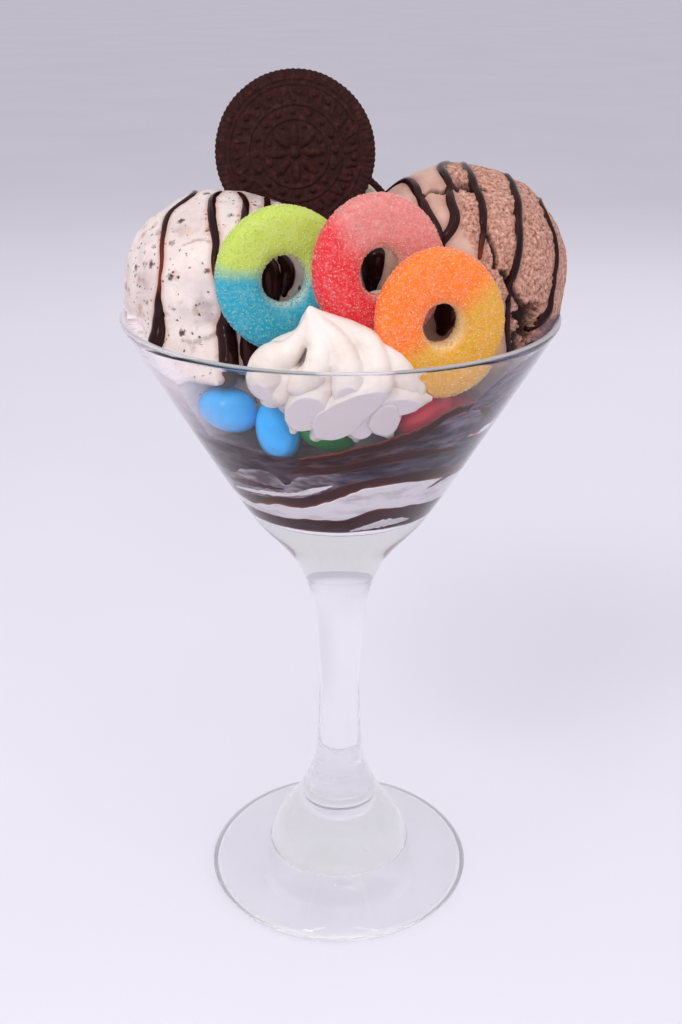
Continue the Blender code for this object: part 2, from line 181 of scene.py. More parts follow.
# Each light: name, place, aimed at, width, height, watts, seen as a reflection.
LIGHTS = [
    ("key", (-0.42, -0.62, 0.82), (0.0, 0.0, 0.17), 0.55, 0.40, 3.3, False),
    ("glint", (-0.30, -0.50, 0.74), (0.0, 0.0, 0.17), 0.11, 0.11, 0.35, True),
    ("front_fill", (0.05, -0.95, 0.62), (0.0, 0.0, 0.15), 0.40, 0.30, 1.7, False),
    ("right_fill", (0.75, -0.35, 0.45), (0.0, 0.0, 0.15), 0.50, 0.60, 1.0, False),
    ("back", (0.20, 0.75, 0.70), (0.0, 0.0, 0.15), 0.70, 0.40, 1.6, False),
    ("strip_left", (-0.20, -0.36, 0.75), (0.0, 0.0, 0.03), 0.035, 0.50, 0.25, True),
    ("strip_right", (0.24, -0.34, 0.75), (0.0, 0.0, 0.03), 0.030, 0.50, 0.2, True),
]
for name, place, aim, width, height, watts, reflected in LIGHTS:
    data = bpy.data.lights.new(name, "AREA")
    data.shape = "RECTANGLE"
    data.size, data.size_y, data.energy = width, height, watts
    light = bpy.data.objects.new(name, data)
    bpy.context.collection.objects.link(light)
    light.location = place
    light.rotation_euler = (Vector(aim) - Vector(place)).to_track_quat("-Z", "Y").to_euler()
    light.visible_glossy = reflected
    light.visible_transmission = name == "glint"
print(len(LIGHTS), "lights")

# %% [markdown]
# ## Helpers for shapes
# The operators act on everything that is selected, so each step begins with nothing selected.
# A finished piece sits at the origin with its place in its mesh, rides on the one body of this
# row and, where it stands for solids of the model, replaces them.

# %% Helpers for shapes
def deselect_all():
    if bpy.context.object and bpy.context.object.mode != "OBJECT":
        bpy.ops.object.mode_set(mode="OBJECT")
    bpy.ops.object.select_all(action="DESELECT")


def pick(obj):
    """Makes the object the only selected one and the active one."""
    deselect_all()
    obj.select_set(True)
    bpy.context.view_layer.objects.active = obj
    return obj


def edit_all(obj, *steps):
    """Runs mesh operators in edit mode with everything selected."""
    pick(obj)
    bpy.ops.object.mode_set(mode="EDIT")
    bpy.ops.mesh.select_all(action="SELECT")
    for step in steps:
        step()
    bpy.ops.object.mode_set(mode="OBJECT")


def apply_all(obj):
    """Applies every modifier in turn."""
    pick(obj)
    for modifier in list(obj.modifiers):
        bpy.ops.object.modifier_apply(modifier=modifier.name)
    return obj


def join(parts, name):
    """Joins objects into one."""
    deselect_all()
    for part in parts:
        part.select_set(True)
    bpy.context.view_layer.objects.active = parts[0]
    if len(parts) > 1:
        bpy.ops.object.join()
    parts[0].name = name
    return parts[0]


def settle(obj):
    """Works an object's place, turn and size into its mesh."""
    pick(obj)
    bpy.ops.object.transform_apply(location=True, rotation=True, scale=True)


def finish(obj, mat, slot, *stands_for):
    """Places and paints a finished piece, hides the solids it stands for and hangs it on the body."""
    settle(obj)
    obj.data.materials.clear()
    obj.data.materials.append(mat)
    obj.data.polygons.foreach_set("use_smooth", [True] * len(obj.data.polygons))
    obj.data.update()
    if stands_for:
        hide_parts(*stands_for)
    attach(obj, "root")
    triangles = sum(len(face.vertices) - 2 for face in obj.data.polygons)
    print(obj.name, triangles, "triangles")
    return obj


def copy_of_node(node, name):
    """A merged copy of a solid's mesh, ready to be worked on."""
    source = nodes[node]
    mesh = source.data.copy()
    mesh.transform(source.matrix_world)
    obj = bpy.data.objects.new(name, mesh)
    bpy.context.collection.objects.link(obj)
    edit_all(obj, lambda: bpy.ops.mesh.remove_doubles(threshold=0.00001))
    return obj


def reshape(obj, move):
    """Moves every vertex; move() takes and gives millimetres."""
    for vertex in obj.data.vertices:
        vertex.co = move(vertex.co / MM) * MM
    obj.data.update()


def skin(obj, voxel_mm, smooth_turns):
    """Turns a body into one even skin of small squares and smooths it."""
    remesh = obj.modifiers.new("Skin", "REMESH")
    remesh.mode = "VOXEL"
    remesh.voxel_size = voxel_mm * MM
    if smooth_turns:
        smooth = obj.modifiers.new("Smooth", "SMOOTH")
        smooth.factor = 0.5
        smooth.iterations = smooth_turns
    return apply_all(obj)


def smooth_through(stations, per_span):
    """Points of a Catmull-Rom curve through stations of any length, ends included."""
    padded = [stations[0]] + list(stations) + [stations[-1]]
    points = []
    for i in range(1, len(padded) - 2):
        before, start, end, after = padded[i - 1:i + 3]
        for step in range(per_span):
            t = step / per_span
            points.append(tuple(
                0.5 * (2 * b + (c - a) * t + (2 * a - 5 * b + 4 * c - d) * t ** 2
                       + (3 * b - a - 3 * c + d) * t ** 3)
                for a, b, c, d in zip(before, start, end, after)))
    points.append(tuple(stations[-1]))
    return points


def between(value, low, high):
    """Smooth step from 0 at low to 1 at high."""
    t = min(max((value - low) / (high - low), 0.0), 1.0)
    return t * t * (3.0 - 2.0 * t)


# %% [markdown]
# ## The glass
# A pressed and polished glass: a cone with a fire-rounded rim, a solid shoulder, a waisted stem
# and a bell foot on a disc. It is one turned body, so half of its outline is drawn as points and
# the spin operator turns it once round. The stations are the solid's own; a smooth curve through
# them takes away the solid's facets. Cold food leaves a faint frost on the bowl. A milky layer is
# painted on the stem and foot to brighten them, and on the glass's edge-on parts, its rim and its
# foot's edge as painted highlight.

# %% Turn the glass
RIM_Z = 175.8
GLASS_STEPS = 144
INNER_WALL = [(0.0, 119.6), (8.0, 120.1), (15.5, 121.5), (22.0, 123.4), (25.2, 125.6),
              (27.6, 128.2), (32.4, 136.0), (40.5, 150.0), (49.2, 165.0), (54.9, 174.6)]
RIM = [(55.6, 175.7), (56.3, RIM_Z), (56.9, 175.5), (57.0, 174.9)]
OUTER_CONE = [(57.0, 174.9), (51.4, 165.0), (42.7, 150.0), (34.6, 136.0)]
SHOULDER_AND_STEM = [
    (34.6, 136.0), (28.6, 126.0), (23.4, 118.0), (14.2, 107.0), (9.3, 97.0), (7.2, 86.0),
    (6.1, 70.0), (5.95, 58.0), (6.8, 42.0), (8.4, 35.0), (12.6, 25.5), (18.6, 16.5), (21.2, 9.6),
]
FOOT = [(21.2, 9.6), (24.0, 8.5), (30.0, 6.4), (36.4, 4.3), (38.9, 2.4), (39.06, 1.2),
        (38.3, 0.0)]


def fine(points, step=1.5):
    """Adds stations along straight parts, so that smooth shading stays true beside a bend."""
    out = [points[0]]
    for (r0, z0), (r1, z1) in zip(points, points[1:]):
        parts = max(1, round(hypot(r1 - r0, z1 - z0) / step))
        out += [(r0 + (r1 - r0) * i / parts, z0 + (z1 - z0) * i / parts)
                for i in range(1, parts + 1)]
    return out


INNER_CURVE = (INNER_WALL[:4] + smooth_through(INNER_WALL[3:7], 3)[1:]
               + fine(INNER_WALL[6:])[1:])


def wall_radius(height):
    """Radius of the bowl's inner wall at a height."""
    height = min(max(height, INNER_CURVE[0][1]), INNER_CURVE[-1][1])
    for (r0, z0), (r1, z1) in zip(INNER_CURVE, INNER_CURVE[1:]):
        if height <= z1:
            return r0 + (r1 - r0) * (height - z0) / (z1 - z0)


def turned(name, profile, steps):
    """Draws half an outline and spins it once round the Z axis."""
    mesh = bpy.data.meshes.new(name)
    mesh.from_pydata([(r * MM, 0.0, z * MM) for r, z in profile],
                     [(i, i + 1) for i in range(len(profile) - 1)], [])
    obj = bpy.data.objects.new(name, mesh)
    bpy.context.collection.objects.link(obj)
    edit_all(obj,
             lambda: bpy.ops.mesh.spin(steps=steps, angle=2 * pi, center=(0, 0, 0),
                                       axis=(0, 0, 1)),
             lambda: bpy.ops.mesh.select_all(action="SELECT"),
             lambda: bpy.ops.mesh.remove_doubles(threshold=0.00002),
             lambda: bpy.ops.mesh.normals_make_consistent(inside=False))
    return obj


glass_outline = (INNER_CURVE + smooth_through(RIM, 4) + fine(OUTER_CONE)[1:-1]
                 + smooth_through(SHOULDER_AND_STEM, 5) + smooth_through(FOOT, 4)[1:]
                 + [(36.6, 0.0), (35.0, 0.5), (26.0, 1.1), (12.0, 1.9), (3.0, 2.3), (0.0, 2.3)])
glass = turned("glass_clear", glass_outline, GLASS_STEPS)

# %% Paint the glass
def glass_paint(name, ior, tint, frost_and_brightening_share):
    """Clear glass with a patchy milky layer: frost on the bowl, painted brightening on the stem and
    foot; painted highlight turns it milky edge-on, on the rim and on the foot's edge.
    """
    clear = principled(name, (0.99, 0.985, 1.0, 1.0), 0.0, IOR=ior, Specular_Tint=tint)
    place = object_place(clear)
    patches = ramp(clear, noise_at(clear, place, 0.06, 3.0), (0.35, 0.3), (0.65, 1.0))
    frost = maths(clear, "MULTIPLY", patches, frost_and_brightening_share)
    # Painted light: the glass turns milky where it is seen edge-on, which paints its pale edge strips.
    grazing_painted_light = maths(clear, "POWER", add(clear, "LayerWeight", Blend=0.5).outputs["Facing"], 7.0)
    height = add(clear, "SeparateXYZ", Vector=place).outputs["Z"]
    # Painted highlight: a milky band on the rim paints its bright line.
    rim = add(clear, "MapRange", Value=height, From_Min=175.1, From_Max=175.6, To_Min=0.0,
              To_Max=0.34)
    reach = add(clear, "VectorMath", {"operation": "LENGTH"},
                n0=object_place(clear, scale=(1.0, 1.0, 0.0))).outputs["Value"]
    # Painted highlight: a milky band round the foot's outer edge paints it bright.
    foot = add(clear, "MapRange", Value=maths(clear, "SUBTRACT", reach, height), From_Min=35.0,
               From_Max=37.5, To_Min=0.0, To_Max=0.35)
    edges = maths(clear, "ADD", rim, foot)
    frost_and_painted_light = maths(clear, "ADD", maths(clear, "ADD", frost, edges),
                 maths(clear, "MULTIPLY", grazing_painted_light, 0.7))
    feed(clear, "Transmission Weight", maths(clear, "SUBTRACT", 1.0, frost_and_painted_light))
    bump(clear, noise_at(clear, place, 0.05, 1.0), 0.25, 0.15)
    return clear


BASE_TOP_Z = 97.0       # the bowl and its shoulder are above, the stem and foot below
finish(glass, glass_paint("clear_glass", 1.32, (0.30, 0.30, 0.30, 1.0), 0.008), "clear_glass",
       "glass")
# Painted light: the stem and foot carry no frost; their patchy 0.06 milky layer brightens them.
glass.data.materials.append(glass_paint("clear_glass_base", 1.43, (1.0, 1.0, 1.0, 1.0), 0.06))
for face in glass.data.polygons:
    face.material_index = 1 if face.center.z < BASE_TOP_Z * MM else 0
glass.visible_shadow = False    # glass lets the lamps through to the food inside

# %% [markdown]
# ## The layers in the bowl
# Vanilla ice cream and fudge sauce were poured in turn and show through the wall as uneven dark
# and pale bands. Each layer is a ball whose upper cap becomes its top, its belt the side that
# wets the glass and its lower cap the underside. The belt reaches a tenth of a millimetre into
# the wall, because a film of air there would mirror the light. The height of each boundary is
# given at a few bearings round the bowl, and the front is at -90 degrees.

# %% Shape the layers
WET = 0.12          # how far wetted food reaches into the glass wall
LAYER_MEANS = [126.6, 134.6, 138.2, 143.2, 147.6]
BOUNDARIES = [
    [(-180, 127.0), (-141, 127.2), (-116, 127.4), (-108, 128.3), (-97, 128.3), (-87, 128.5),
     (-84, 129.4), (-76, 131.5), (-70, 131.9), (-57, 131.2), (-34, 129.6), (0, 127.0),
     (45, 126.0), (100, 127.4), (140, 126.0)],
    [(-180, 131.6), (-139, 129.6), (-129, 130.9), (-120, 132.2), (-109, 131.9), (-102, 133.4),
     (-95, 135.1), (-89, 136.9), (-84, 138.5), (-80, 139.8), (-65, 140.4), (-50, 139.2),
     (-34, 137.4), (0, 135.6), (50, 133.8), (100, 135.8), (140, 133.6)],
    [(-180, 134.4), (-143, 132.4), (-129, 133.8), (-117, 135.1), (-107, 136.0), (-100, 137.6),
     (-95, 138.8), (-89, 140.9), (-84, 142.1), (-74, 143.2), (-57, 143.4), (-49, 143.0),
     (-35, 140.6), (0, 139.2), (50, 137.0), (100, 139.0), (140, 137.4)],
    [(-180, 138.6), (-140, 139.6), (-131, 142.4), (-122, 143.6), (-117, 143.4), (-112, 139.6),
     (-106, 143.2), (-96, 144.7), (-84, 145.7), (-76, 147.3), (-60, 148.1), (-44, 147.6),
     (-20, 145.0), (30, 142.4), (90, 144.2), (140, 142.4)],
    [(-180, 149.6), (-141, 150.6), (-125, 150.0), (-110, 149.2), (-99, 149.2), (-88, 150.0),
     (-78, 150.9), (-69, 151.5), (-46, 151.0), (-10, 149.4), (50, 147.6), (120, 148.6)],
]


def height_at(stations, bearing):
    """Height of a boundary at a bearing in degrees, eased between its stations."""
    bearing = (bearing + 180.0) % 360.0 - 180.0
    ring = stations + [(stations[0][0] + 360.0, stations[0][1])]
    for (a0, z0), (a1, z1) in zip(ring, ring[1:]):
        if a0 <= bearing <= a1:
            return z0 + (z1 - z0) * between(bearing, a0, a1)


def edge_height(index, bearing):
    """Height at which a boundary meets the glass; the lowest one is the floor's corner."""
    if index < 0:
        return 122.9
    ripple = 0.35 * noise.noise(Vector((bearing * 0.16, index * 7.0, 0.0)))
    return height_at(BOUNDARIES[index], bearing) + ripple


def layer_surface(index, share, bearing):
    """A point of a boundary: share is 0 on the axis and 1 at the glass."""
    edge = edge_height(index, bearing)
    radius = share * (wall_radius(edge) + WET)
    if index < 0:
        radius = share * 20.4
        height = 119.7 + 3.8 * (radius / 22.0) ** 2
    else:
        height = LAYER_MEANS[index] + (edge - LAYER_MEANS[index]) * share ** 3
    angle = radians(bearing)
    return Vector((radius * cos(angle), radius * sin(angle), height))


def build_layer(index, name):
    """A ball made into the layer that lies under boundary index."""
    deselect_all()
    bpy.ops.mesh.primitive_uv_sphere_add(segments=160, ring_count=36, radius=MM)
    layer = bpy.context.object
    layer.name = name

    def move(co):
        polar = degrees(atan2(hypot(co.x, co.y), co.z))
        bearing = degrees(atan2(co.y, co.x))
        if polar <= 60.0:
            return layer_surface(index, polar / 60.0, bearing)
        if polar >= 120.0:
            return layer_surface(index - 1, (180.0 - polar) / 60.0, bearing)
        low, high = edge_height(index - 1, bearing), edge_height(index, bearing)
        height = high + (low - high) * (polar - 60.0) / 60.0
        radius = wall_radius(height) + WET
        return Vector((radius * cos(radians(bearing)), radius * sin(radians(bearing)), height))

    reshape(layer, move)
    return layer


# %% Paint the layers
def streaked(mat, dark, light, low=0.40, high=0.62, scale=0.10):
    """Long level streaks between two tones."""
    place = object_place(mat, scale=(1.0, 1.0, 3.4))
    return ramp(mat, noise_at(mat, place, scale, 5.0, 0.62), (low, dark), (high, light))


def sideways(mat, left, right, start, end):
    """Goes over from one tone to another along X, in millimetres, with a ragged edge."""
    across = add(mat, "SeparateXYZ", Vector=object_place(mat)).outputs["X"]
    ragged = maths(mat, "MULTIPLY", noise_at(mat, object_place(mat), 0.2, 3.0), 8.0)
    share = add(mat, "MapRange", Value=maths(mat, "ADD", across, ragged), From_Min=start + 4.0,
                From_Max=end + 4.0, To_Min=0.0, To_Max=1.0)
    return mix(mat, share, left, right)


def pressed_food(name, tone, roughness, edges=None):
    """Food pressed on glass; tone(mat) gives its colour, edges that of its thin edges."""
    mat = principled(name, (0.5, 0.5, 0.5, 1.0), roughness, Specular_IOR_Level=0.1)
    colour = tone(mat)
    if edges:
        thin = add(mat, "Attribute", {"attribute_name": "thin"}).outputs["Fac"]
        colour = mix(mat, thin, colour, edges)
    feed(mat, "Base Color", colour)
    bump(mat, noise_at(mat, object_place(mat), 0.9, 3.0), 0.2, 0.5)
    return mat


melted_vanilla = pressed_food("melted_vanilla", lambda mat: streaked(
    mat, srgb(204, 192, 200), srgb(244, 238, 244), 0.30, 0.50), 0.45)
vanilla_smeared = pressed_food("melted_vanilla_smeared", lambda mat: sideways(
    mat, streaked(mat, srgb(96, 80, 92), srgb(190, 178, 190), 0.42, 0.66, 0.13),
    streaked(mat, srgb(48, 36, 50), srgb(104, 94, 114), 0.42, 0.70, 0.13), -8.0, 2.0), 0.4)
fudge_pressed = pressed_food("fudge_on_glass", lambda mat: streaked(
    mat, srgb(44, 8, 14), srgb(76, 24, 30), 0.35, 0.75), 0.35, srgb(158, 76, 42))
melt_on_wall = pressed_food("melt_on_the_wall", lambda mat: streaked(
    mat, srgb(92, 76, 94), srgb(142, 128, 148), 0.42, 0.66, 0.12), 0.4)
fudge_smeared = pressed_food("fudge_smeared", lambda mat: sideways(
    mat, streaked(mat, srgb(40, 14, 22), srgb(120, 98, 116), 0.44, 0.72),
    streaked(mat, srgb(72, 58, 78), srgb(160, 150, 172), 0.44, 0.74), 12.0, 34.0), 0.4)


def mark_edges(layer, index):
    """Tells the material where a band of sauce thins out against the glass."""
    thin = layer.data.attributes.new("thin", "FLOAT", "POINT")
    for i, vertex in enumerate(layer.data.vertices):
        co = vertex.co / MM
        if hypot(co.x, co.y) > wall_radius(co.z) - 0.6:
            bearing = degrees(atan2(co.y, co.x))
            low, high = edge_height(index - 1, bearing), edge_height(index, bearing)
            ragged = 0.5 + 0.9 * noise.noise(co * 0.3)
            thin.data[i].value = max(between(co.z, low + 1.2, low) * ragged,
                                     between(co.z, high - 0.5, high) * ragged * 0.6, 0.0)


LAYERS = [("fudge_layer_1", fudge_pressed), ("vanilla_layer_1", melted_vanilla),
          ("fudge_layer_2", fudge_pressed), ("vanilla_layer_2", vanilla_smeared),
          ("fudge_layer_3", fudge_smeared)]
for index, (name, paint) in enumerate(LAYERS):
    layer = build_layer(index, name + "_poured")
    mark_edges(layer, index)
    finish(layer, paint, "vanilla_ice_cream" if "vanilla" in name else "fudge_sauce", name)

# %% [markdown]
# ## Syrup smeared on the glass
# Where sauce ran down the inside before the ice cream went in, it stays on the wall as ribbons
# with wavering edges. Each ribbon is a flat grid laid along a path of bearings and heights on
# the cone, then given a thickness inwards by Solidify.

# %% Lay the ribbons
def wall_ribbon(name, stations, mat, slot_name, thickness=0.5, waver=0.25):
    """Stations are (bearing, height, width in millimetres) along the wall."""
    per_span = 14
    path = smooth_through(stations, per_span)
    deselect_all()
    bpy.ops.mesh.primitive_grid_add(x_subdivisions=len(path) - 1, y_subdivisions=8, size=2 * MM)
    ribbon = bpy.context.object
    ribbon.name = name
    last = len(path) - 1

    def move(co):
        along = (co.x + 1.0) / 2.0 * last
        index = min(int(along), last - 1)
        part = along - index
        bearing, height, width = (a + (b - a) * part
                                  for a, b in zip(path[index], path[index + 1]))
        seed = len(name) * 3.7
        wave = noise.noise(Vector((along * 0.35, co.y * 0.8 + seed, seed)))
        height += co.y * width / 2.0 + wave * waver * min(width, 2.0)
        radius = wall_radius(height) + WET + 0.02
        return Vector((radius * cos(radians(bearing)), radius * sin(radians(bearing)), height))

    thin = ribbon.data.attributes.new("thin", "FLOAT", "POINT")
    for i, vertex in enumerate(ribbon.data.vertices):
        thin.data[i].value = 0.5 * between(abs(vertex.co.y / MM), 0.7, 1.0)
    reshape(ribbon, move)
    solidify = ribbon.modifiers.new("Thickness", "SOLIDIFY")
    solidify.thickness = thickness * MM
    solidify.offset = -1.0
    edit_all(ribbon, lambda: bpy.ops.mesh.normals_make_consistent(inside=False))
    centre = ribbon.data.polygons[0]
    if centre.normal.dot(Vector((centre.center.x, centre.center.y, 0.0))) < 0.0:
        edit_all(ribbon, lambda: bpy.ops.mesh.flip_normals())
    apply_all(ribbon)
    return finish(ribbon, mat, slot_name)


syrup = principled("chocolate_syrup", srgb(40, 14, 12), 0.12, Specular_IOR_Level=0.2)
syrup_tone = noise_at(syrup, object_place(syrup), 0.12, 3.0)
syrup_dark = ramp(syrup, syrup_tone, (0.35, srgb(30, 6, 8)), (0.7, srgb(50, 18, 16)))
feed(syrup, "Base Color", syrup_dark)
bump(syrup, noise_at(syrup, object_place(syrup), 0.35, 2.0), 0.3, 0.3)

RIBBONS = [
    ("syrup_ribbon_3", fudge_pressed, [
        (-108, 144.4, 1.0), (-103, 145.7, 2.4), (-96, 146.1, 2.6), (-90, 146.7, 2.6),
        (-83, 147.8, 3.0), (-76, 149.0, 3.3), (-68, 149.6, 3.3), (-60, 149.5, 2.8),
        (-53, 149.1, 1.9), (-44, 148.4, 0.6)]),
    ("syrup_ribbon_4", fudge_pressed, [
        (-104, 148.6, 1.0), (-97, 149.6, 1.8), (-90, 151.0, 2.2), (-83, 152.4, 2.6),
        (-77, 153.4, 2.8), (-72, 154.7, 3.6), (-66, 155.9, 3.8), (-61, 158.4, 3.8),
        (-57, 161.0, 2.8), (-51, 161.7, 2.2), (-44, 161.4, 2.4), (-34, 163.2, 2.2),
        (-22, 165.4, 1.4), (-10, 167.0, 0.4)]),
    ("melt_film_right", fudge_smeared, [
        (-88, 150.4, 0.8), (-80, 151.6, 2.6), (-70, 153.6, 4.6), (-58, 155.4, 8.0),
        (-45, 156.0, 9.5), (-31, 157.6, 10.0), (-15, 157.0, 9.0), (5, 156.0, 6.0),
        (20, 154.0, 1.0)]),
    ("melt_film_rim", melt_on_wall, [
        (-50, 160.5, 1.0), (-46, 163.5, 5.0), (-40, 166.0, 9.0), (-30, 167.4, 11.4),
        (-18, 167.8, 12.0), (-4, 167.0, 11.0), (10, 165.0, 9.0), (24, 162.0, 3.0)]),
    ("syrup_drip", fudge_pressed, [
        (-45, 160.6, 0.8), (-40, 158.6, 2.6), (-35, 156.6, 2.4), (-29, 154.6, 0.6)]),
    ("vanilla_smear_low", melted_vanilla, [
        (-84, 124.0, 0.4), (-76, 125.0, 1.7), (-66, 126.0, 3.0), (-56, 125.9, 2.2),
        (-47, 125.4, 0.5)]),
    ("vanilla_smear_left", melted_vanilla, [
        (-147, 133.6, 0.6), (-130, 135.1, 1.2), (-118, 136.0, 1.3), (-109, 137.0, 1.2),
        (-100, 139.0, 1.7), (-93, 140.8, 0.4)]),
    ("syrup_streak_left", fudge_pressed, [
        (-146, 136.4, 1.0), (-134, 137.4, 2.0), (-124, 137.9, 1.6), (-114, 138.2, 0.5)]),
    ("syrup_finger", fudge_pressed, [
        (-48, 136.0, 0.4), (-42, 137.4, 1.4), (-36, 138.6, 2.0), (-28, 140.6, 1.0)]),
]
for name, paint, stations in RIBBONS:
    if "film" in name:
        wall_ribbon(name, stations, paint, "fudge_sauce", 0.2, 0.5)
    else:
        wall_ribbon(name, stations, paint,
                    "vanilla_ice_cream" if "vanilla" in name else "fudge_sauce")

# %% [markdown]
# ## The scoops
# A pressed ball of ice cream isn't smooth: the scoop tears it, air leaves pores, and melted parts
# slump against the glass. A copy of each solid is turned into one fine skin, smoothed until the
# facets are gone, and then roughened by sums of noise. Cracks are given as short paths of
# directions from the scoop's middle, and dig in with ragged edges. Two attributes, "torn" and
# "deep", tell the material where the ice cream is porous and where a crack gets painted shade.

# %% Shape the scoops
VANILLA_CENTRE = Vector((-29.4, 3.0, 183.0))
CHOCOLATE_CENTRE = Vector((30.6, 3.0, 184.8))
BULGE_RADIUS = 56.9         # how far a scoop leans out over the rim


def direction(bearing, elevation):
    """A unit vector from a bearing and an elevation in degrees."""
    flat = cos(radians(elevation))
    return Vector((flat * cos(radians(bearing)), flat * sin(radians(bearing)),
                   sin(radians(elevation))))


def hold_to_wall(co, margin):
    """Draws a point near the wall on to it; above the rim the ice cream leans out to the rim."""
    radius = hypot(co.x, co.y)
    if co.z > RIM_Z + 0.3:
        lean = between(co.z, RIM_Z + 7.0, RIM_Z + 0.3) * between(radius, 52.0, 55.0)
        radius_out = radius + (BULGE_RADIUS - radius) * lean * 0.8
        return Vector((co.x * radius_out / radius, co.y * radius_out / radius, co.z))
    free = wall_radius(co.z)
    if radius < free - margin:
        return co
    return Vector((co.x, co.y, 0.0)) * ((free + WET) / radius) + Vector((0.0, 0.0, co.z))


def crack_paths(centre, *paths):
    """Search tree of points along cracks, with each one's width and depth in millimetres."""
    spots = []
    for width, depth, stations in paths:
        for x, y, z in smooth_through([tuple(direction(*s)) for s in stations], 8):
            spots.append((Vector((x, y, z)).normalized(), width, depth))
    tree = KDTree(len(spots))
    for i, (spot, _, _) in enumerate(spots):
        tree.insert(spot, i)
    tree.balance()

    def depth_at(point):
        offset = point - centre
        spot, i, apart = tree.find(offset.normalized())
        ragged = 1.0 + 0.7 * noise.noise(point * 0.8) + 0.4 * noise.noise(point * 2.0)
        across = apart * offset.length / max(spots[i][1] * ragged, 0.1)
        return between(across, 1.0, 0.25), spots[i][2]

    return depth_at


def roughened(name, node, relief):
    """The skin of a scoop's solid, moved along its normals by relief(point)."""
    scoop = skin(copy_of_node(node, name), 0.42, 30)
    torn = scoop.data.attributes.new("torn", "FLOAT", "POINT")
    # deep marks the cracks, which the materials darken as painted shade.
    deep = scoop.data.attributes.new("deep", "FLOAT", "POINT")
    pressed = scoop.data.attributes.new("pressed", "FLOAT", "POINT")
    normals = [vertex.normal.copy() for vertex in scoop.data.vertices]
    for i, (vertex, normal) in enumerate(zip(scoop.data.vertices, normals)):
        point = vertex.co / MM
        rise, torn.data[i].value, deep.data[i].value = relief(point)
        point = hold_to_wall(point + normal * rise, 2.4)
        gap = wall_radius(point.z) - hypot(point.x, point.y) + max(point.z - RIM_Z, 0.0) * 2.0
        pressed.data[i].value = between(gap, 4.5, 0.8)
        vertex.co = point * MM
    scoop.data.update()
    return scoop


vanilla_crack = crack_paths(
    VANILLA_CENTRE, (0.8, 1.0, [(-145, -14), (-142, -19), (-137, -23)]),
    (0.5, 0.5, [(-109, -19), (-100, -18), (-91, -15)]),
    (0.9, 0.7, [(-141, 35), (-137, 34)]), (0.5, 0.5, [(-113, 30), (-104, 34), (-96, 33)]),
    (0.6, 0.6, [(150, 20), (165, 12), (178, 8)]), (0.6, 0.7, [(100, 10), (118, 2), (134, -2)]))
chocolate_crack = crack_paths(
    CHOCOLATE_CENTRE, (0.9, 1.6, [(-130, 50), (-124, 56), (-112, 56), (-104, 63)]),
    (2.4, 2.6, [(-106, 61), (-96, 64), (-84, 62)]), (0.8, 1.0, [(-84, 63), (-71, 59)]),
    (0.9, 1.4, [(-80, 34), (-77, 27), (-75, 21), (-76, 15)]),
    (1.2, 1.6, [(-71, 12), (-66, 3), (-60, -6)]),
    (5.2, 3.8, [(-59, -9), (-56, -13), (-58, -18)]), (2.0, 2.0, [(-62, -19), (-67, -23)]),
    (0.9, 1.2, [(60, 30), (72, 22), (80, 8)]), (1.0, 1.4, [(120, 40), (112, 30), (118, 18)]))


def vanilla_relief(point):
    """Low lumps, small craters and a few creases."""
    lumps = 0.60 * noise.noise(point * 0.085) + 0.16 * noise.noise(point * 0.33)
    craters = -0.30 * between(noise.noise(point * 0.36 + Vector((5, 1, 8))), 0.42, 0.62)
    crease, depth = vanilla_crack(point)
    fine = 0.035 * noise.noise(point * 1.5)
    return 0.75 + lumps + craters + fine - crease * depth, 0.0, crease * 0.8


def chocolate_relief(point):
    """Smooth where the scoop pressed it, at the left; torn and porous at the right and behind."""
    edge = 27.0 + (208.0 - point.z) * 0.42 + 4.0 * noise.noise(point * 0.07)
    torn = max(between(point.x, edge - 1.0, edge + 1.5), between(point.y, 6.0, 12.0))
    lumps = 0.60 * noise.noise(point * 0.10 + Vector((4, 4, 4))) + 0.16 * noise.noise(point * 0.35)
    pores = min(0.0, noise.noise(point * 0.75) + 0.10) * 0.7 + 0.14 * noise.noise(point * 1.7)
    ridge = 0.5 * noise.noise(Vector((point.x * 0.28, point.y * 0.28, point.z * 0.06)))
    crack, depth = chocolate_crack(point)
    rise = 0.45 + lumps + torn * (pores + ridge - 0.15) - crack * depth
    return rise, torn, crack


vanilla_scoop = roughened("scoop_cookies_and_cream_pressed", "scoop_cookies_and_cream",
                          vanilla_relief)
chocolate_scoop = roughened("scoop_chocolate_pressed", "scoop_chocolate", chocolate_relief)

# %% [markdown]
# The left ice cream is off-white and full of broken cookie: dark crumbs, brown ones and blurred
# grey ones that lie under the surface. Cells of a Voronoi pattern give each crumb a place, a
# size and a colour of its own, and noise bends the pattern so that none is round. Where the ice
# cream is pressed on cold glass it is painted paler and cooler near the rim and darker lower
# down, which is painted shade deep in the bowl.

# %% Paint the left scoop
def attribute(mat, name):
    return add(mat, "Attribute", {"attribute_name": name}).outputs["Fac"]


def crumb_layer(mat, place, under, scale, size, colours, share, soft=0.3, strength=1.0):
    """Crumbs over a colour: scale in cells per millimetre, size as a part of a cell."""
    coarse = noise_at(mat, place, scale * 1.9, 4.0, 0.65)
    bent = add(mat, "VectorMath", {"operation": "MULTIPLY_ADD"}, n0=coarse.outputs["Color"],
               n1=(1.1 / scale,) * 3, n2=place)
    cells = add(mat, "TexVoronoi", Vector=bent, Scale=scale, Randomness=1.0)
    apart = add(mat, "SeparateColor", Color=cells.outputs["Color"])
    reach = maths(mat, "MULTIPLY", maths(mat, "POWER", apart.outputs[1], 1.8), size)
    chosen = maths(mat, "LESS_THAN", apart.outputs[0], share)
    edge = maths(mat, "SUBTRACT", reach, cells.outputs["Distance"])
    inside = add(mat, "MapRange", Value=edge, From_Min=0.0, From_Max=soft * size,
                 To_Min=0.0, To_Max=strength)
    mask = maths(mat, "MULTIPLY", inside, chosen)
    stops = [(i / max(len(colours) - 1, 1), colour) for i, colour in enumerate(colours)]
    return mix(mat, mask, under, ramp(mat, apart.outputs[2], *stops))


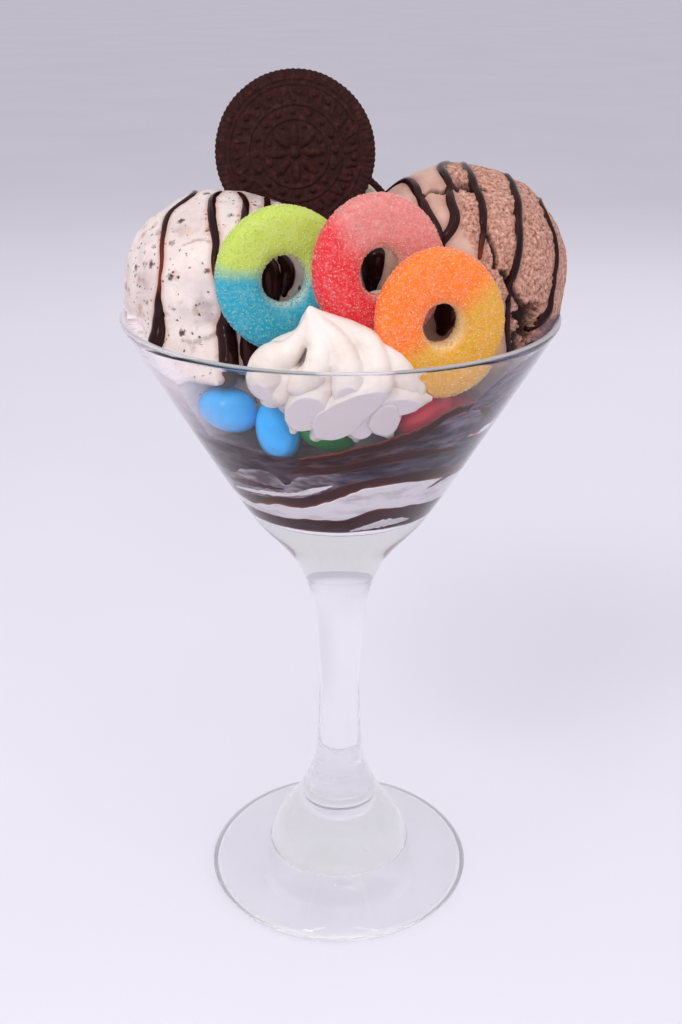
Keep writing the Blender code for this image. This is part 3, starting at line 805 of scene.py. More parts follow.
def pressed_tone_shaded_low(mat, colour, upper, lower, low, high):
    """Colour against the glass: lower at height low, upper at height high, in soft patches; the darker
    lower colour is painted shade deep in the bowl.
    """
    height = add(mat, "SeparateXYZ", Vector=object_place(mat)).outputs["Z"]
    patches = noise_at(mat, object_place(mat, scale=(1.0, 1.0, 2.6)), 0.12, 5.0, 0.6)
    wavy = maths(mat, "ADD", height, maths(mat, "MULTIPLY", patches, 16.0))
    share = add(mat, "MapRange", Value=wavy, From_Min=low + 8.0, From_Max=high + 8.0,
                To_Min=0.0, To_Max=1.0)
    return mix(mat, attribute(mat, "pressed"), colour, mix(mat, share, lower, upper))


cookie_ice = principled("cookies_and_cream_ice", srgb(226, 210, 206), 0.45,
                        Subsurface_Weight=0.25, Subsurface_Scale=0.0012,
                        Subsurface_Radius=(1.0, 0.7, 0.6), Coat_Weight=0.1, Coat_Roughness=0.35)
cream_place = object_place(cookie_ice)
cream_tone = ramp(cookie_ice, noise_at(cookie_ice, cream_place, 0.07, 4.0, 0.6),
                  (0.3, srgb(206, 188, 185)), (0.5, srgb(225, 209, 204)),
                  (0.72, srgb(240, 229, 222)))
crumbs = crumb_layer(cookie_ice, cream_place, cream_tone, 0.19, 0.74,
                     [srgb(132, 118, 134), srgb(170, 140, 134), srgb(120, 104, 118)],
                     0.62, 1.0, 0.75)
crumbs = crumb_layer(cookie_ice, cream_place, crumbs, 0.26, 0.66,
                     [srgb(186, 116, 78), srgb(150, 92, 70), srgb(206, 150, 110)], 0.55, 0.8, 0.85)
crumbs = crumb_layer(cookie_ice, cream_place, crumbs, 0.42, 0.56,
                     [srgb(70, 46, 48), srgb(112, 80, 78), srgb(50, 34, 40)], 0.46, 0.5)
crumbs = crumb_layer(cookie_ice, cream_place, crumbs, 0.95, 0.42,
                     [srgb(46, 30, 34), srgb(110, 78, 72), srgb(34, 24, 30)], 0.55)
stained = mix(cookie_ice, maths(cookie_ice, "MULTIPLY", attribute(cookie_ice, "stain"), 0.55),
              crumbs, srgb(190, 128, 100))
# Painted shade: the ice cream darkens in its cracks.
crack_shaded = mix(cookie_ice, maths(cookie_ice, "MULTIPLY", attribute(cookie_ice, "deep"), 0.5),
              stained, srgb(120, 92, 90))
# Pressed on the glass: pale and cool near the rim, with painted shade darkening it lower in the bowl.
feed(cookie_ice, "Base Color", pressed_tone_shaded_low(cookie_ice, crack_shaded, srgb(246, 232, 238),
                                            srgb(132, 118, 140), 150.0, 166.0))
ice_grain = noise_at(cookie_ice, cream_place, 0.9, 5.0, 0.65)
bump(cookie_ice, ice_grain, 0.25, 0.5)
finish(vanilla_scoop, cookie_ice, "cookies_and_cream_ice_cream", "scoop_cookies_and_cream")

# %% Paint the right scoop
chocolate_ice = principled("chocolate_ice", srgb(190, 148, 132), 0.5, Subsurface_Weight=0.15,
                           Subsurface_Scale=0.001, Subsurface_Radius=(1.0, 0.6, 0.45))
cocoa_place = object_place(chocolate_ice)
smooth_tone = ramp(chocolate_ice, noise_at(chocolate_ice, cocoa_place, 0.10, 4.0, 0.6),
                   (0.3, srgb(184, 140, 122)), (0.5, srgb(202, 160, 144)),
                   (0.72, srgb(218, 180, 166)))
# Painted shade with the cocoa's own tone: this noise is also the bump below, so its pits are painted
# dark and its crests pale.
porous_tone_and_pit_shade = ramp(chocolate_ice, noise_at(chocolate_ice, cocoa_place, 1.15, 5.0, 0.72),
                   (0.36, srgb(108, 62, 48)), (0.47, srgb(176, 124, 106)),
                   (0.60, srgb(208, 160, 142)), (0.72, srgb(236, 204, 190)))
cocoa = mix(chocolate_ice, attribute(chocolate_ice, "torn"), smooth_tone, porous_tone_and_pit_shade)
cocoa = mix(chocolate_ice, maths(chocolate_ice, "MULTIPLY",
                                 attribute(chocolate_ice, "stain"), 0.4), cocoa,
            srgb(120, 70, 52))
# Painted shade: the cocoa goes almost black in its cracks.
cocoa = mix(chocolate_ice, attribute(chocolate_ice, "deep"), cocoa, srgb(36, 16, 14))
# Pressed on the glass: a purple-grey film of melt, with painted shade darkening it lower in the bowl.
feed(chocolate_ice, "Base Color", pressed_tone_shaded_low(chocolate_ice, cocoa, srgb(104, 84, 98),
                                               srgb(76, 60, 80), 158.0, 172.0))
feed(chocolate_ice, "Roughness", ramp(chocolate_ice, attribute(chocolate_ice, "torn"),
                                      (0.0, 0.38), (1.0, 0.65)))
bump(chocolate_ice, noise_at(chocolate_ice, cocoa_place, 1.15, 5.0, 0.72), 0.5, 0.5)
finish(chocolate_scoop, chocolate_ice, "chocolate_ice_cream", "scoop_chocolate")

# %% [markdown]
# ## Syrup over the scoops
# The syrup was swung across both scoops in a thin stream. It runs down, thins, and gathers in a
# drop at its end. Each run is a round curve laid on the ice cream: directions from the scoop's
# middle are sent out as rays, and where they meet the surface the curve gets a point, sunk a
# little so that the run is wider than it is high. Where it is thin, light shines through it and
# it looks red-brown; the attribute "thin" holds that. The ice cream beside a run takes a little
# of its colour, which the attribute "stain" holds.

# %% Lay the syrup runs
def surface_of(*objects):
    """A search tree over the faces of some finished pieces."""
    corners, faces = [], []
    for obj in objects:
        start = len(corners)
        corners += [vertex.co.copy() for vertex in obj.data.vertices]
        faces += [[start + i for i in face.vertices] for face in obj.data.polygons]
    return BVHTree.FromPolygons(corners, faces)


def syrup_run(tree, centre, stations):
    """Points on the ice cream: stations are (bearing, elevation, width in millimetres)."""
    rays = [(*direction(bearing, elevation), width) for bearing, elevation, width in stations]
    points = []
    for x, y, z, width in smooth_through(rays, 7):
        out = Vector((x, y, z)).normalized()
        hit = tree.ray_cast((centre + out * 60.0) * MM, -out)
        if hit[0] is not None:
            points.append((hit[0] / MM, width))
    for _ in range(4):
        points = [points[0]] + [
            ((a[0] + b[0] * 2 + c[0]) / 4, b[1])
            for a, b, c in zip(points, points[1:], points[2:])] + [points[-1]]
    strand = []
    for co, width in points:
        out = (co - centre).normalized()
        wide = width * (1.0 + 0.10 * noise.noise(co * 0.35))
        strand.append((co - out * wide * 0.22, wide * 0.55))
    return strand


def round_strand(name, points, sides=5):
    """A round curve through (point, radius) in millimetres, made a mesh."""
    data = bpy.data.curves.new(name, "CURVE")
    data.dimensions = "3D"
    data.bevel_depth = MM
    data.bevel_resolution = sides
    data.use_fill_caps = True
    spline = data.splines.new("POLY")

    def cap(tip, inner, radius):
        out = (tip - inner).normalized()
        return [(tip + out * radius * sin(a), max(radius * cos(a), 0.03))
                for a in (0.5, 0.95, 1.3, 1.5)]

    start = cap(points[0][0], points[1][0], points[0][1])[::-1]
    end = cap(points[-1][0], points[-2][0], points[-1][1])
    path = start + points + end
    spline.points.add(len(path) - 1)
    for target, (co, radius) in zip(spline.points, path):
        target.co = (*(co * MM), 1.0)
        target.radius = radius
    strand = bpy.data.objects.new(name, data)
    bpy.context.collection.objects.link(strand)
    pick(strand)
    bpy.ops.object.convert(target="MESH")
    return bpy.context.object


LEFT_RUNS = [
    [(122, 40, 1.2), (140, 62, 1.6), (-170, 68, 1.8), (-148, 49, 1.9), (-133, 36, 1.6),
     (-126, 24, 1.3), (-124, 17, 1.1), (-124, 7, 1.2), (-125, -4, 2.6), (-126, -13, 4.0),
     (-125, -19, 5.0), (-125, -22, 5.2)],
    [(80, 74, 1.2), (-120, 78, 1.8), (-106, 66, 2.1), (-97, 48, 2.2), (-92, 34, 1.9),
     (-92, 26, 1.7), (-92, 17, 1.4), (-90, 10, 1.2), (-88, 4, 1.6), (-86, -5, 3.0),
     (-87, -13, 4.4), (-86, -20, 4.8), (-86, -28, 4.8), (-87, -34, 4.0)],
    [(-82, 6, 0.9), (-79, 0, 1.6), (-77, -8, 3.0), (-75, -16, 4.2), (-76, -24, 4.6),
     (-78, -32, 4.0)],
    [(-66, 30, 3.0), (-64, 22, 5.5), (-63, 14, 6.5), (-63, 5, 6.0), (-64, -4, 4.0)],
    [(-52, 24, 2.0), (-50, 16, 4.0), (-52, 9, 4.0), (-55, 3, 2.0)],
    [(60, 80, 1.3), (-50, 68, 1.7), (-65, 54, 1.9), (-72, 41, 1.9), (-77, 28, 1.5),
     (-80, 18, 1.1), (-82, 6, 0.9)],
    [(60, 50, 1.2), (20, 62, 1.8), (-20, 60, 1.9), (-42, 52, 1.8), (-50, 42, 1.5)],
]
RIGHT_RUNS = [
    [(160, 40, 1.6), (-175, 58, 2.4), (-146, 57, 2.5), (-126, 48, 2.4), (-118, 42, 2.4),
     (-110, 35, 2.3), (-106, 29, 2.1), (-104, 20, 1.6)],
    [(100, 58, 1.8), (120, 76, 2.2), (-158, 77, 2.5), (-111, 64, 2.4), (-104, 51, 2.5),
     (-99, 42, 2.5), (-100, 35, 2.5), (-104, 29, 2.4), (-109, 22, 2.0)],
    [(80, 44, 1.6), (84, 62, 2.0), (84, 80, 2.0), (-80, 68, 2.2), (-79, 55, 2.3), (-79, 45, 2.1),
     (-81, 36, 1.9), (-82, 30, 1.6), (-84, 20, 1.1)],
    [(62, 34, 1.5), (40, 52, 1.9), (-2, 66, 2.0), (-30, 60, 2.2), (-49, 46, 2.4), (-56, 35, 2.4),
     (-61, 21, 2.3), (-65, 10, 2.2), (-68, -1, 1.8), (-68, -14, 1.6), (-70, -24, 1.7)],
    [(40, 24, 1.3), (20, 36, 1.5), (-8, 44, 1.6), (-21, 38, 1.7), (-26, 25, 2.0), (-28, 15, 2.0),
     (-34, 2, 2.1), (-39, -12, 2.4), (-50, -21, 2.5)],
    [(-152, 30, 4.0), (-151, 20, 7.5), (-148, 12, 8.5), (-147, 4, 7.0), (-146, -4, 4.0)],
    [(-104, 4, 3.0), (-101, -3, 5.0), (-101, -11, 5.5), (-103, -19, 3.0)],
]
strands, laid = [], []
for centre, scoop, runs in ((VANILLA_CENTRE, vanilla_scoop, LEFT_RUNS),
                            (CHOCOLATE_CENTRE, chocolate_scoop, RIGHT_RUNS)):
    tree = surface_of(scoop)
    for run in runs:
        points = syrup_run(tree, centre, run)
        strands.append(round_strand("run", points))
        laid += points
syrup_runs = join(strands, "syrup_runs")
edit_all(syrup_runs, lambda: bpy.ops.mesh.normals_make_consistent(inside=False))
run_tree = KDTree(len(laid))
for i, (co, _) in enumerate(laid):
    run_tree.insert(co, i)
run_tree.balance()


def mark(obj, name, value):
    """Writes an attribute whose value at a point comes from the nearest point of a run."""
    attribute = obj.data.attributes.new(name, "FLOAT", "POINT")
    for i, vertex in enumerate(obj.data.vertices):
        _, nearest, apart = run_tree.find(vertex.co / MM)
        attribute.data[i].value = value(apart, laid[nearest][1])


mark(syrup_runs, "thin", lambda apart, radius: between(radius, 0.95, 0.60))
for scoop in (vanilla_scoop, chocolate_scoop):
    mark(scoop, "stain", lambda apart, radius: between(apart, radius + 1.3, radius * 0.9))
thinness = add(syrup, "Attribute", {"attribute_name": "thin"})
feed(syrup, "Base Color", mix(syrup, thinness.outputs["Fac"], syrup_dark, srgb(104, 40, 20)))
finish(syrup_runs, syrup, "fudge_sauce")

# %% [markdown]
# ## The gummy rings
# A sugared gummy ring is a soft squarish band of two colours that run into each other, rolled in
# coarse sugar. The band is a circle of points spun round; its colour is mixed along a slant by a
# gradient with a soft, uneven meeting line. The sugar is real: thousands of tiny cubes.

# %% Shape a ring
RINGS = [
    ("ring_green_blue", Vector((-13.7, -25.8, 189.7)), Vector((0.24, -1.0, 0.02)), -8, 16.2, 17.2),
    ("ring_red_pink", Vector((8.9, -33.2, 193.2)), Vector((0.27, -1.0, 0.03)), 4, 15.7, 17.8),
    ("ring_orange_yellow", Vector((22.9, -39.0, 182.5)), Vector((0.24, -1.0, -0.06)), 8,
     15.2, 17.4),
]
RING_BAND = 10.7
RING_THICKNESS = 8.0


def facing_matrix(centre, facing, spin=0.0):
    """A place whose local Z looks along facing, local Y is up, then spun about local Z."""
    turn = facing.normalized().to_track_quat("Z", "Y").to_matrix().to_4x4()
    return Matrix.Translation(centre * MM) @ turn @ Matrix.Rotation(spin, 4, "Z")


def ring_body(name, centre, facing, spin, half_width, half_height):
    """A torus whose round section is pressed square and whose band wavers a little."""
    deselect_all()
    bpy.ops.mesh.primitive_torus_add(major_radius=(half_width - RING_BAND / 2) * MM,
                                     minor_radius=RING_BAND / 2 * MM,
                                     major_segments=112, minor_segments=36)
    ring = bpy.context.object
    ring.name = name
    middle = half_width - RING_BAND / 2
    seed = half_height * 3.0

    def move(co):
        angle = atan2(co.y, co.x)
        across = hypot(co.x, co.y) - middle
        section = atan2(co.z, across)
        square = 1.0 / (abs(cos(section)) ** 3.2 + abs(sin(section)) ** 3.2) ** (1 / 3.2)
        waver = 1.0 + 0.035 * noise.noise(Vector((cos(angle) * 1.6, sin(angle) * 1.6, seed)))
        out = middle + square * cos(section) * RING_BAND / 2 * waver
        thick = square * sin(section) * RING_THICKNESS / 2 * (2.0 - waver) * 0.985
        dents = 0.12 * noise.noise(Vector((co.x * 0.35, co.y * 0.35, co.z * 0.35 + seed)))
        return Vector((out * cos(angle), out * sin(angle) * half_height / half_width,
                       thick + dents))

    inside = ring.data.attributes.new("hole", "FLOAT", "POINT")
    for i, vertex in enumerate(ring.data.vertices):
        across = hypot(vertex.co.x, vertex.co.y) / MM - middle
        inside.data[i].value = between(-across, RING_BAND * 0.34, RING_BAND * 0.48)
    reshape(ring, move)
    return ring


# %% Paint and sugar the rings
# Name, the two colours, the direction from the second to the first in the XZ plane, its offset.
GUMMY_TINTS = [
    ("green_blue", srgb(190, 208, 78), srgb(8, 162, 186), (0.10, 0.0, 0.99), 1.4),
    ("red_pink", srgb(218, 124, 118), srgb(224, 26, 42), (0.77, 0.0, 0.64), -0.6),
    ("orange_yellow", srgb(246, 120, 2), srgb(220, 158, 0), (-0.65, 0.0, 0.76), 0.0),
]


def gummy(name, first, second, towards, offset, centre, crystal):
    """Two colours meeting along a wavering line; sugar crystals are paler than the band."""
    mat = principled(name, first, 0.15 if crystal else 0.45)
    place = object_place(mat)
    along = add(mat, "VectorMath", {"operation": "DOT_PRODUCT"}, n0=place, n1=towards)
    start = centre.dot(Vector(towards)) + offset
    wave = maths(mat, "MULTIPLY", noise_at(mat, place, 0.10, 3.0), 4.0)
    meeting = add(mat, "MapRange", Value=maths(mat, "ADD", along.outputs["Value"], wave),
                  From_Min=start + 2.0 - 2.4, From_Max=start + 2.0 + 2.4, To_Min=0.0, To_Max=1.0)
    tone = mix(mat, meeting, second, first)
    if crystal:
        white = ramp(mat, noise_at(mat, place, 1.6, 2.0), (0.40, 0.05), (0.62, 0.38))
        feed(mat, "Base Color", mix(mat, white, tone, srgb(252, 245, 230)))
        return mat
    dust = ramp(mat, noise_at(mat, place, 0.8, 5.0, 0.75), (0.45, 0.0), (0.72, 0.15))
    dusted = mix(mat, dust, tone, srgb(246, 244, 240))
    pale = add(mat, "Attribute", {"attribute_name": "hole"}).outputs["Fac"]
    feed(mat, "Base Color", mix(mat, maths(mat, "MULTIPLY", pale, 0.7), dusted,
                                srgb(236, 226, 196)))
    bump(mat, noise_at(mat, place, 2.2, 4.0, 0.7), 0.22, 0.5)
    shader = mat.node_tree.nodes["Principled BSDF"]
    shader.inputs["Subsurface Weight"].default_value = 0.1
    shader.inputs["Subsurface Scale"].default_value = 0.002
    return mat


SUGAR_PER_RING = 11500
SUGAR_SMALLEST = 0.055
SUGAR_SPREAD = 0.085


def sugar_on(body, name, count, seed):
    """Tiny cubes of sugar pressed into a body's surface, as one mesh."""
    random = Random(seed)
    faces = list(body.data.polygons)
    areas, total = [], 0.0
    for face in faces:
        total += face.area
        areas.append(total)
    corners, quads = [], []
    cube = [Vector((x, y, z)) for x in (-1, 1) for y in (-1, 1) for z in (-1, 1)]
    sides = [(0, 1, 3, 2), (4, 6, 7, 5), (0, 4, 5, 1), (2, 3, 7, 6), (0, 2, 6, 4), (1, 5, 7, 3)]
    place = 0
    for chosen in sorted(random.random() * total for _ in range(count)):
        while areas[place] < chosen:
            place += 1
        face = faces[place]
        ends = [body.data.vertices[i].co for i in face.vertices]
        u, v = random.random(), random.random()
        spot = (ends[0].lerp(ends[1], u)).lerp(ends[-1].lerp(ends[2], u), v)
        size = (SUGAR_SMALLEST + SUGAR_SPREAD * random.random() ** 2) * MM
        turn = Euler([random.random() * pi for _ in range(3)]).to_matrix()
        stretch = 0.8 + 0.5 * random.random()
        start = len(corners)
        for corner in cube:
            corners.append(spot + face.normal * size * 0.3
                           + turn @ Vector((corner.x, corner.y, corner.z * stretch)) * size)
        quads += [tuple(start + i for i in side) for side in sides]
    mesh = bpy.data.meshes.new(name)
    mesh.from_pydata(corners, [], quads)
    crystals = bpy.data.objects.new(name, mesh)
    bpy.context.collection.objects.link(crystals)
    return crystals


for row, (tint, first, second, towards, offset) in zip(RINGS, GUMMY_TINTS):
    name, centre, facing, spin = row[:4]
    ring = ring_body(name + "_gummy", *row[1:])
    ring.matrix_world = facing_matrix(centre, facing, radians(spin))
    settle(ring)
    crystals = sugar_on(ring, name + "_sugar", SUGAR_PER_RING, len(name))
    colours = (first, second, towards, offset, centre)
    finish(ring, gummy("gummy_" + tint, *colours, False), "gummy_" + tint, name)
    finish(crystals, gummy("sugar_" + tint, *colours, True), "gummy_" + tint)
    crystals.data.polygons.foreach_set("use_smooth", [False] * len(crystals.data.polygons))

# %% [markdown]
# ## The cookies
# A dark cocoa wafer carries a moulded relief: fine ridges round its edge, a ring of short bars
# and dots, and a flower in the middle. The relief is built from small bodies set on a turned
# disc, and one skin over them all rounds the edges as baking does. It is made once and copied.

# %% Mould the wafer
COOKIE_RADIUS = 20.6
WAFER_THICKNESS = 3.0
COOKIE_CREAM_RADIUS = 18.6
COOKIE_CREAM_THICKNESS = 2.6
COOKIE_PITCH = 3.1
COOKIE_CENTRE = Vector((-11.7, 9.0, 214.0))
COOKIE_FACING = Vector((0.03, -0.99, 0.13))
HALF_COOKIE_SHIFT = Vector((8.2, 0.0, -23.0))
half = WAFER_THICKNESS / 2
face_z = half - 0.55
disc = turned("wafer_disc", [(0.0, face_z), (17.2, face_z), (17.9, face_z + 0.25),
                             (20.0, face_z + 0.3), (20.35, half - 0.7), (20.35, 0.4 - half),
                             (19.9, -half), (0.0, -half)], 96)
relief = [disc]


def relief_block(angle, radius, length, width, height, rounded=False, turn=0.0):
    """A bar, or a dome if rounded, on the wafer's face at a bearing in degrees and a radius."""
    deselect_all()
    if rounded:
        bpy.ops.mesh.primitive_uv_sphere_add(segments=16, ring_count=10, radius=0.5)
    else:
        bpy.ops.mesh.primitive_cube_add(size=1.0)
    block = bpy.context.object
    place = Vector((radius * cos(radians(angle)), radius * sin(radians(angle)), face_z)) * MM
    block.matrix_world = (Matrix.Translation(place)
                          @ Matrix.Rotation(radians(angle + turn), 4, "Z")
                          @ Matrix.Diagonal((length * MM, width * MM, 2 * height * MM, 1.0)))
    relief.append(block)


def ring_band(radius, width, height):
    relief.append(turned("band", [(radius - width / 2, face_z - 0.2),
                                  (radius - width / 4, face_z + height),
                                  (radius + width / 4, face_z + height),
                                  (radius + width / 2, face_z - 0.2),
                                  (radius - width / 2, face_z - 0.2)], 72))


for i in range(90):
    relief_block(i * 4.0, 19.25, 2.5, 0.72, 0.55)
for i in range(24):
    relief_block(i * 15.0, 14.2, 3.0, 0.9, 0.42, turn=20.0)
    relief_block(i * 15.0 + 7.5, 14.9, 1.3, 1.3, 0.75, rounded=True)
for i in range(16):
    relief_block(i * 22.5, 10.2, 1.5, 1.5, 0.8, rounded=True)
for i in range(8):
    relief_block(i * 45.0, 4.6, 5.4, 2.3, 0.9, rounded=True)
    relief_block(i * 45.0 + 22.5, 7.0, 1.1, 1.1, 0.7, rounded=True)
relief_block(0.0, 0.0, 2.6, 2.6, 0.9, rounded=True)
ring_band(12.0, 0.7, 0.4)
ring_band(8.5, 0.8, 0.4)
ring_band(16.9, 0.7, 0.35)
wafer_model = skin(join(relief, "wafer_model"), 0.26, 1)


def bake_marks(co):
    """Baking leaves the faces pitted and the rim a little uneven."""
    pits = min(0.0, noise.noise(co * 0.8) + 0.25) * 0.22 + 0.06 * noise.noise(co * 1.9)
    lift = pits if co.z > 0 else -pits
    edge = 1.0 + 0.004 * noise.noise(Vector((co.x * 0.12, co.y * 0.12, 3.0)))
    return Vector((co.x * edge, co.y * edge, co.z + lift))


reshape(wafer_model, bake_marks)

# %% Copy the wafers and fill the cookies
cocoa_wafer = principled("cocoa_wafer", srgb(52, 24, 22), 0.6, Specular_IOR_Level=0.2)
wafer_place = object_place(cocoa_wafer)
feed(cocoa_wafer, "Base Color", ramp(cocoa_wafer, noise_at(cocoa_wafer, wafer_place, 0.6, 6.0, 0.7),
                                     (0.3, srgb(32, 12, 12)), (0.55, srgb(54, 24, 22)),
                                     (0.8, srgb(84, 46, 42))))
bump(cocoa_wafer, noise_at(cocoa_wafer, wafer_place, 1.6, 6.0, 0.75), 0.35, 0.7)
cookie_filling = principled("cookie_filling", srgb(226, 222, 196), 0.6, Subsurface_Weight=0.1,
                            Subsurface_Scale=0.001)
filling_place = object_place(cookie_filling)
feed(cookie_filling, "Base Color",
     ramp(cookie_filling, noise_at(cookie_filling, filling_place, 0.4, 4.0), (0.3, srgb(214, 208, 176)),
          (0.7, srgb(236, 232, 212))))
bump(cookie_filling, noise_at(cookie_filling, filling_place, 1.0, 4.0), 0.2, 0.4)


def cookie_place(slice_number, shift=Vector()):
    """The place of a slice of the cookie stack, counted from the front wafer."""
    depth = COOKIE_FACING.normalized() * slice_number * COOKIE_PITCH
    return facing_matrix(COOKIE_CENTRE - depth + shift, COOKIE_FACING)


def place_wafer(node, place, spin):
    copy = wafer_model.copy()
    copy.data = wafer_model.data.copy()
    copy.name = node + "_moulded"
    bpy.context.collection.objects.link(copy)
    copy.data.transform(place @ Matrix.Rotation(radians(spin), 4, "Z"))
    return finish(copy, cocoa_wafer, "cocoa_wafer", node)


look_back = Matrix.Rotation(pi, 4, "Y")
place_wafer("cookie_front_wafer", cookie_place(0), 3.0)
place_wafer("cookie_back_wafer", cookie_place(2) @ look_back, 20.0)
place_wafer("half_cookie_wafer", cookie_place(4, HALF_COOKIE_SHIFT) @ look_back, 40.0)
bpy.data.objects.remove(wafer_model, do_unlink=True)

for node, place in (("cookie_cream", cookie_place(1)),
                    ("half_cookie_cream", cookie_place(3, HALF_COOKIE_SHIFT))):
    half_cream = COOKIE_CREAM_THICKNESS / 2
    filling = turned(node + "_spread", smooth_through(
        [(0.0, half_cream), (9.0, half_cream), (17.4, half_cream), (18.4, 0.7), (18.4, -0.7),
         (17.4, -half_cream), (9.0, -half_cream), (0.0, -half_cream)], 4), 96)
    reshape(filling, lambda co: Vector((
        co.x * (1 + 0.012 * noise.noise(Vector((co.x * 0.2, co.y * 0.2, 1.0)))),
        co.y * (1 + 0.012 * noise.noise(Vector((co.x * 0.2, co.y * 0.2, 5.0)))),
        co.z + 0.12 * noise.noise(co * 0.3))))
    filling.data.transform(place)
    finish(filling, cookie_filling, "cookie_cream", node)

# %% [markdown]
# ## The candies
# Sugar-coated chocolate candies: smooth eggs with a thin hard shell that shines softly, none of
# them quite regular. Each is a ball stretched and pushed a little out of true.

# %% Shape and paint the candies
CANDY_LENGTH = 15.6
CANDY_WIDTH = 10.6
CANDIES = [
    ("candy_blue_1", Vector((-27.2, -27.4, 157.9)), -16, -14, "candy_blue", srgb(4, 176, 255)),
    ("candy_blue_2", Vector((-15.0, -33.0, 154.6)), -76, -10, "candy_blue", srgb(4, 176, 255)),
    ("candy_green", Vector((-2.6, -31.6, 154.2)), -12, 5, "candy_green", srgb(24, 172, 76)),
    ("candy_red_1", Vector((20.2, -32.8, 158.8)), 24, 22, "candy_red", srgb(238, 24, 66)),
    ("candy_red_2", Vector((29.4, -22.2, 154.0)), 20, 40, "candy_red", srgb(238, 24, 66)),
]


def shell(name, colour):
    mat = principled(name, colour, 0.28, Coat_Weight=0.35, Coat_Roughness=0.12,
                     Specular_IOR_Level=0.45)
    place = object_place(mat)
    patches = noise_at(mat, place, 0.18, 3.0)
    deep = tuple(0.78 * v for v in colour[:3]) + (1.0,)
    feed(mat, "Base Color", ramp(mat, patches, (0.35, deep), (0.65, colour)))
    bump(mat, noise_at(mat, place, 0.35, 3.0), 0.15, 0.4)
    return mat


shells = {}
for name, centre, lean, turn, slot_name, colour in CANDIES:
    shells.setdefault(slot_name, shell(slot_name + "_shell", colour))
    deselect_all()
    bpy.ops.mesh.primitive_uv_sphere_add(segments=48, ring_count=28, radius=MM)
    candy = bpy.context.object
    candy.name = name + "_coated"
    seed = Vector((lean, turn, 0.0))

    def move(co):
        uneven = 1.0 + 0.03 * noise.noise(co * 1.2 + seed) - 0.015
        narrow = 1.0 + 0.05 * co.z
        return Vector((co.x * CANDY_WIDTH / 2 * narrow, co.y * CANDY_WIDTH / 2 * narrow,
                       co.z * CANDY_LENGTH / 2)) * uneven

    reshape(candy, move)
    candy.matrix_world = (Matrix.Translation(centre * MM)
                          @ Matrix.Rotation(radians(turn), 4, "Z")
                          @ Matrix.Rotation(radians(90 - lean), 4, "Y"))
    finish(candy, shells[slot_name], slot_name, name)

# %% [markdown]
# ## The whipped cream
# Cream piped through a star nozzle falls in soft tongues round a peak, and the glass flattens
# those that touch it. Each tongue is a thick strand that swells and comes to a blunt tip. The
# free folds share one skin that leaves deep soft creases, each tongue on the glass and the dab
# get a skin of their own, and what would pass the wall is pressed on it.

# %% Pipe the cream
PEAK = (-6.9, -44.2, 187.0, 0.7)
# Tongues that lie on the glass: how far behind the foremost one, then (x, y, z, radius).
PETALS = [
    (0.5, [(-12.0, -44.0, 171.0, 4.4), (-13.8, -44.4, 167.8, 3.4), (-17.2, -43.8, 165.9, 1.4)]),
    (0.4, [(-4.5, -46.6, 169.8, 3.6), (-6.9, -46.0, 166.6, 4.9), (-8.5, -43.6, 162.8, 4.8),
           (-10.2, -41.8, 159.6, 2.8), (-10.8, -41.6, 157.8, 1.1)]),
    (0.0, [(9.2, -48.6, 171.2, 3.1), (6.0, -48.0, 168.8, 4.3), (2.3, -46.8, 165.9, 5.1),
           (-1.2, -44.5, 162.0, 5.5), (-4.0, -42.2, 158.6, 3.9), (-5.6, -41.6, 156.4, 1.6)]),
    (0.8, [(5.1, -44.4, 164.0, 4.2), (4.4, -41.8, 159.4, 3.9), (3.9, -40.4, 156.8, 2.6),
           (3.8, -40.0, 154.9, 1.0)]),
    (0.1, [(10.2, -44.9, 165.9, 3.8), (9.7, -42.9, 161.9, 4.6), (10.7, -41.0, 158.4, 3.0),
           (11.5, -40.4, 156.3, 1.2)]),
    (0.5, [(8.6, -45.6, 168.4, 3.6), (13.4, -44.5, 166.6, 4.0), (17.4, -43.1, 166.2, 2.8),
           (20.4, -42.4, 165.8, 0.9)]),
]
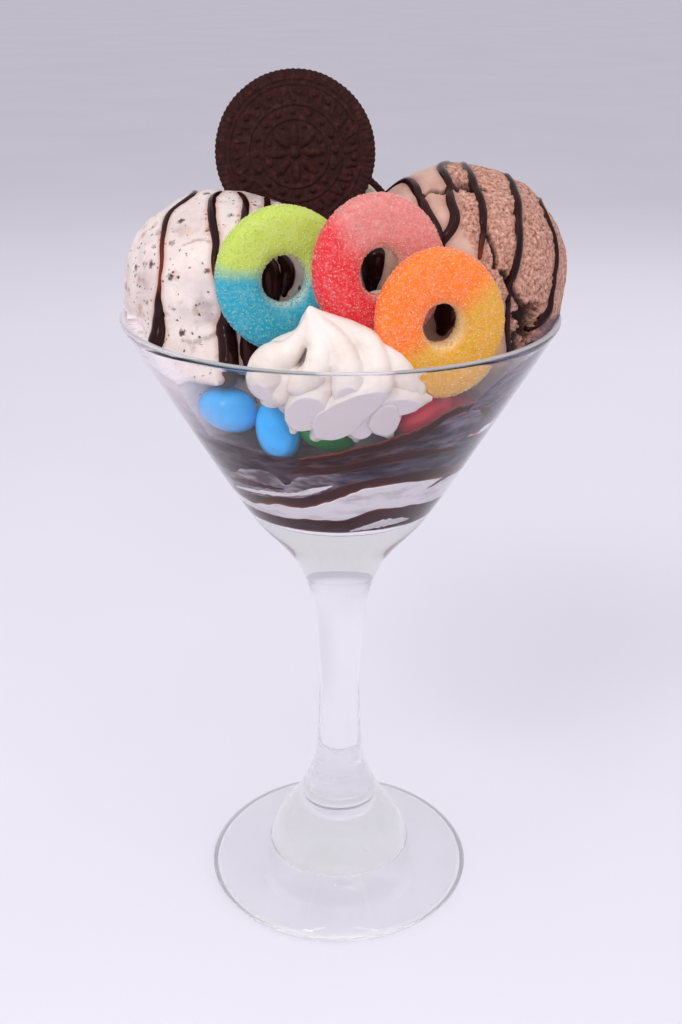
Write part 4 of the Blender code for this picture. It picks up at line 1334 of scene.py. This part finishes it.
# Folds that hang free, in front and behind, and the heart of the swirl.
FOLDS = [
    [PEAK, (-7.9, -44.6, 182.6, 1.5), (-11.2, -45.0, 177.6, 3.0), (-15.2, -44.4, 174.6, 4.8),
     (-16.7, -43.6, 171.0, 5.0), (-15.4, -43.2, 167.4, 3.6)],
    [PEAK, (-6.2, -45.4, 182.6, 2.0), (-4.6, -47.0, 178.2, 3.0), (-5.6, -48.2, 173.8, 3.2),
     (-9.4, -47.4, 170.4, 2.8)],
    [PEAK, (-4.4, -44.8, 183.6, 2.0), (-0.6, -46.4, 179.4, 3.0), (1.6, -48.2, 174.6, 3.6),
     (1.8, -48.2, 170.0, 4.0)],
    [PEAK, (-3.2, -43.2, 183.8, 2.2), (1.8, -43.2, 181.4, 2.8), (6.4, -44.4, 178.6, 3.4),
     (8.2, -46.4, 173.6, 3.8), (7.4, -47.4, 169.4, 3.6)],
    [(4.0, -42.6, 179.6, 2.6), (9.6, -43.4, 175.6, 4.0), (13.4, -43.8, 171.4, 4.0),
     (17.2, -42.8, 168.4, 2.6)],
    [PEAK, (-9.0, -41.6, 180.2, 2.0), (-13.6, -39.4, 174.4, 4.6), (-12.6, -38.0, 168.0, 5.4),
     (-8.0, -37.4, 162.0, 4.4), (-6.0, -37.4, 158.6, 2.6)],
    [PEAK, (-3.6, -41.2, 182.2, 2.8), (2.4, -39.4, 177.6, 4.8), (6.6, -38.4, 170.6, 5.6),
     (6.4, -37.8, 163.0, 4.6), (6.0, -37.8, 159.0, 2.6)],
    [PEAK, (-6.8, -41.0, 181.6, 3.2), (-5.6, -38.0, 174.6, 5.6), (-2.6, -37.2, 166.0, 5.6),
     (-0.6, -37.4, 160.0, 3.6)],
    [(4.0, -40.6, 178.6, 3.0), (10.4, -39.6, 174.0, 4.6), (15.0, -38.8, 168.0, 4.2),
     (16.4, -38.8, 163.6, 2.4)],
    [(-5.0, -40.6, 172.0, 5.6), (0.0, -40.4, 168.0, 6.0), (4.0, -40.4, 164.0, 5.2)],
]
# A dab that fell between the scoops, behind the rings.
DAB = [(2.6, -25.0, 178.6, 2.2), (7.6, -21.6, 182.2, 3.0), (11.0, -19.4, 183.8, 2.0)]


def tongue(stations):
    return round_strand("tongue", [(Vector(p[:3]), p[3]) for p in smooth_through(stations, 6)], 7)


def press(cream, depth):
    """Flattens what would pass the wall and drags the rest a little out of true."""
    flat = cream.data.attributes.new("pressed", "FLOAT", "POINT")
    for i, vertex in enumerate(cream.data.vertices):
        co = vertex.co / MM
        drag = 0.20 * noise.noise(co * 0.45) + 0.06 * noise.noise(co * 1.5)
        co += Vector((drag, drag, drag * 0.6))
        if co.z < RIM_Z - 0.4:
            radius = wall_radius(co.z) + WET - depth
            gap = radius - hypot(co.x, co.y)
            flat.data[i].value = between(gap, 0.5, 0.05)
            if gap < 0.0:
                co = Vector((co.x, co.y, 0.0)) * (radius / (radius - gap)) + Vector((0, 0, co.z))
        vertex.co = co * MM
    cream.data.update()
    return cream


parts = [press(skin(tongue(stations), 0.34, 2), depth) for depth, stations in PETALS]
parts.append(press(skin(join([tongue(fold) for fold in FOLDS], "folds"), 0.36, 1), 1.0))
parts.append(press(skin(tongue(DAB), 0.34, 2), 0.0))
cream = join(parts, "whipped_cream_piped")

whipped = principled("whipped_cream", srgb(244, 240, 236), 0.4, Subsurface_Weight=0.2,
                     Subsurface_Scale=0.001, Subsurface_Radius=(1.0, 0.85, 0.7))
whipped_place = object_place(whipped)
whipped_tone = ramp(whipped, noise_at(whipped, whipped_place, 0.15, 3.0),
                    (0.3, srgb(225, 211, 201)), (0.7, srgb(235, 226, 220)))
feed(whipped, "Base Color", mix(whipped, attribute(whipped, "pressed"), whipped_tone,
                                srgb(234, 223, 226)))
bump(whipped, noise_at(whipped, whipped_place, 0.7, 4.0, 0.6), 0.25, 0.3)
finish(cream, whipped, "whipped_cream", "whipped_cream")
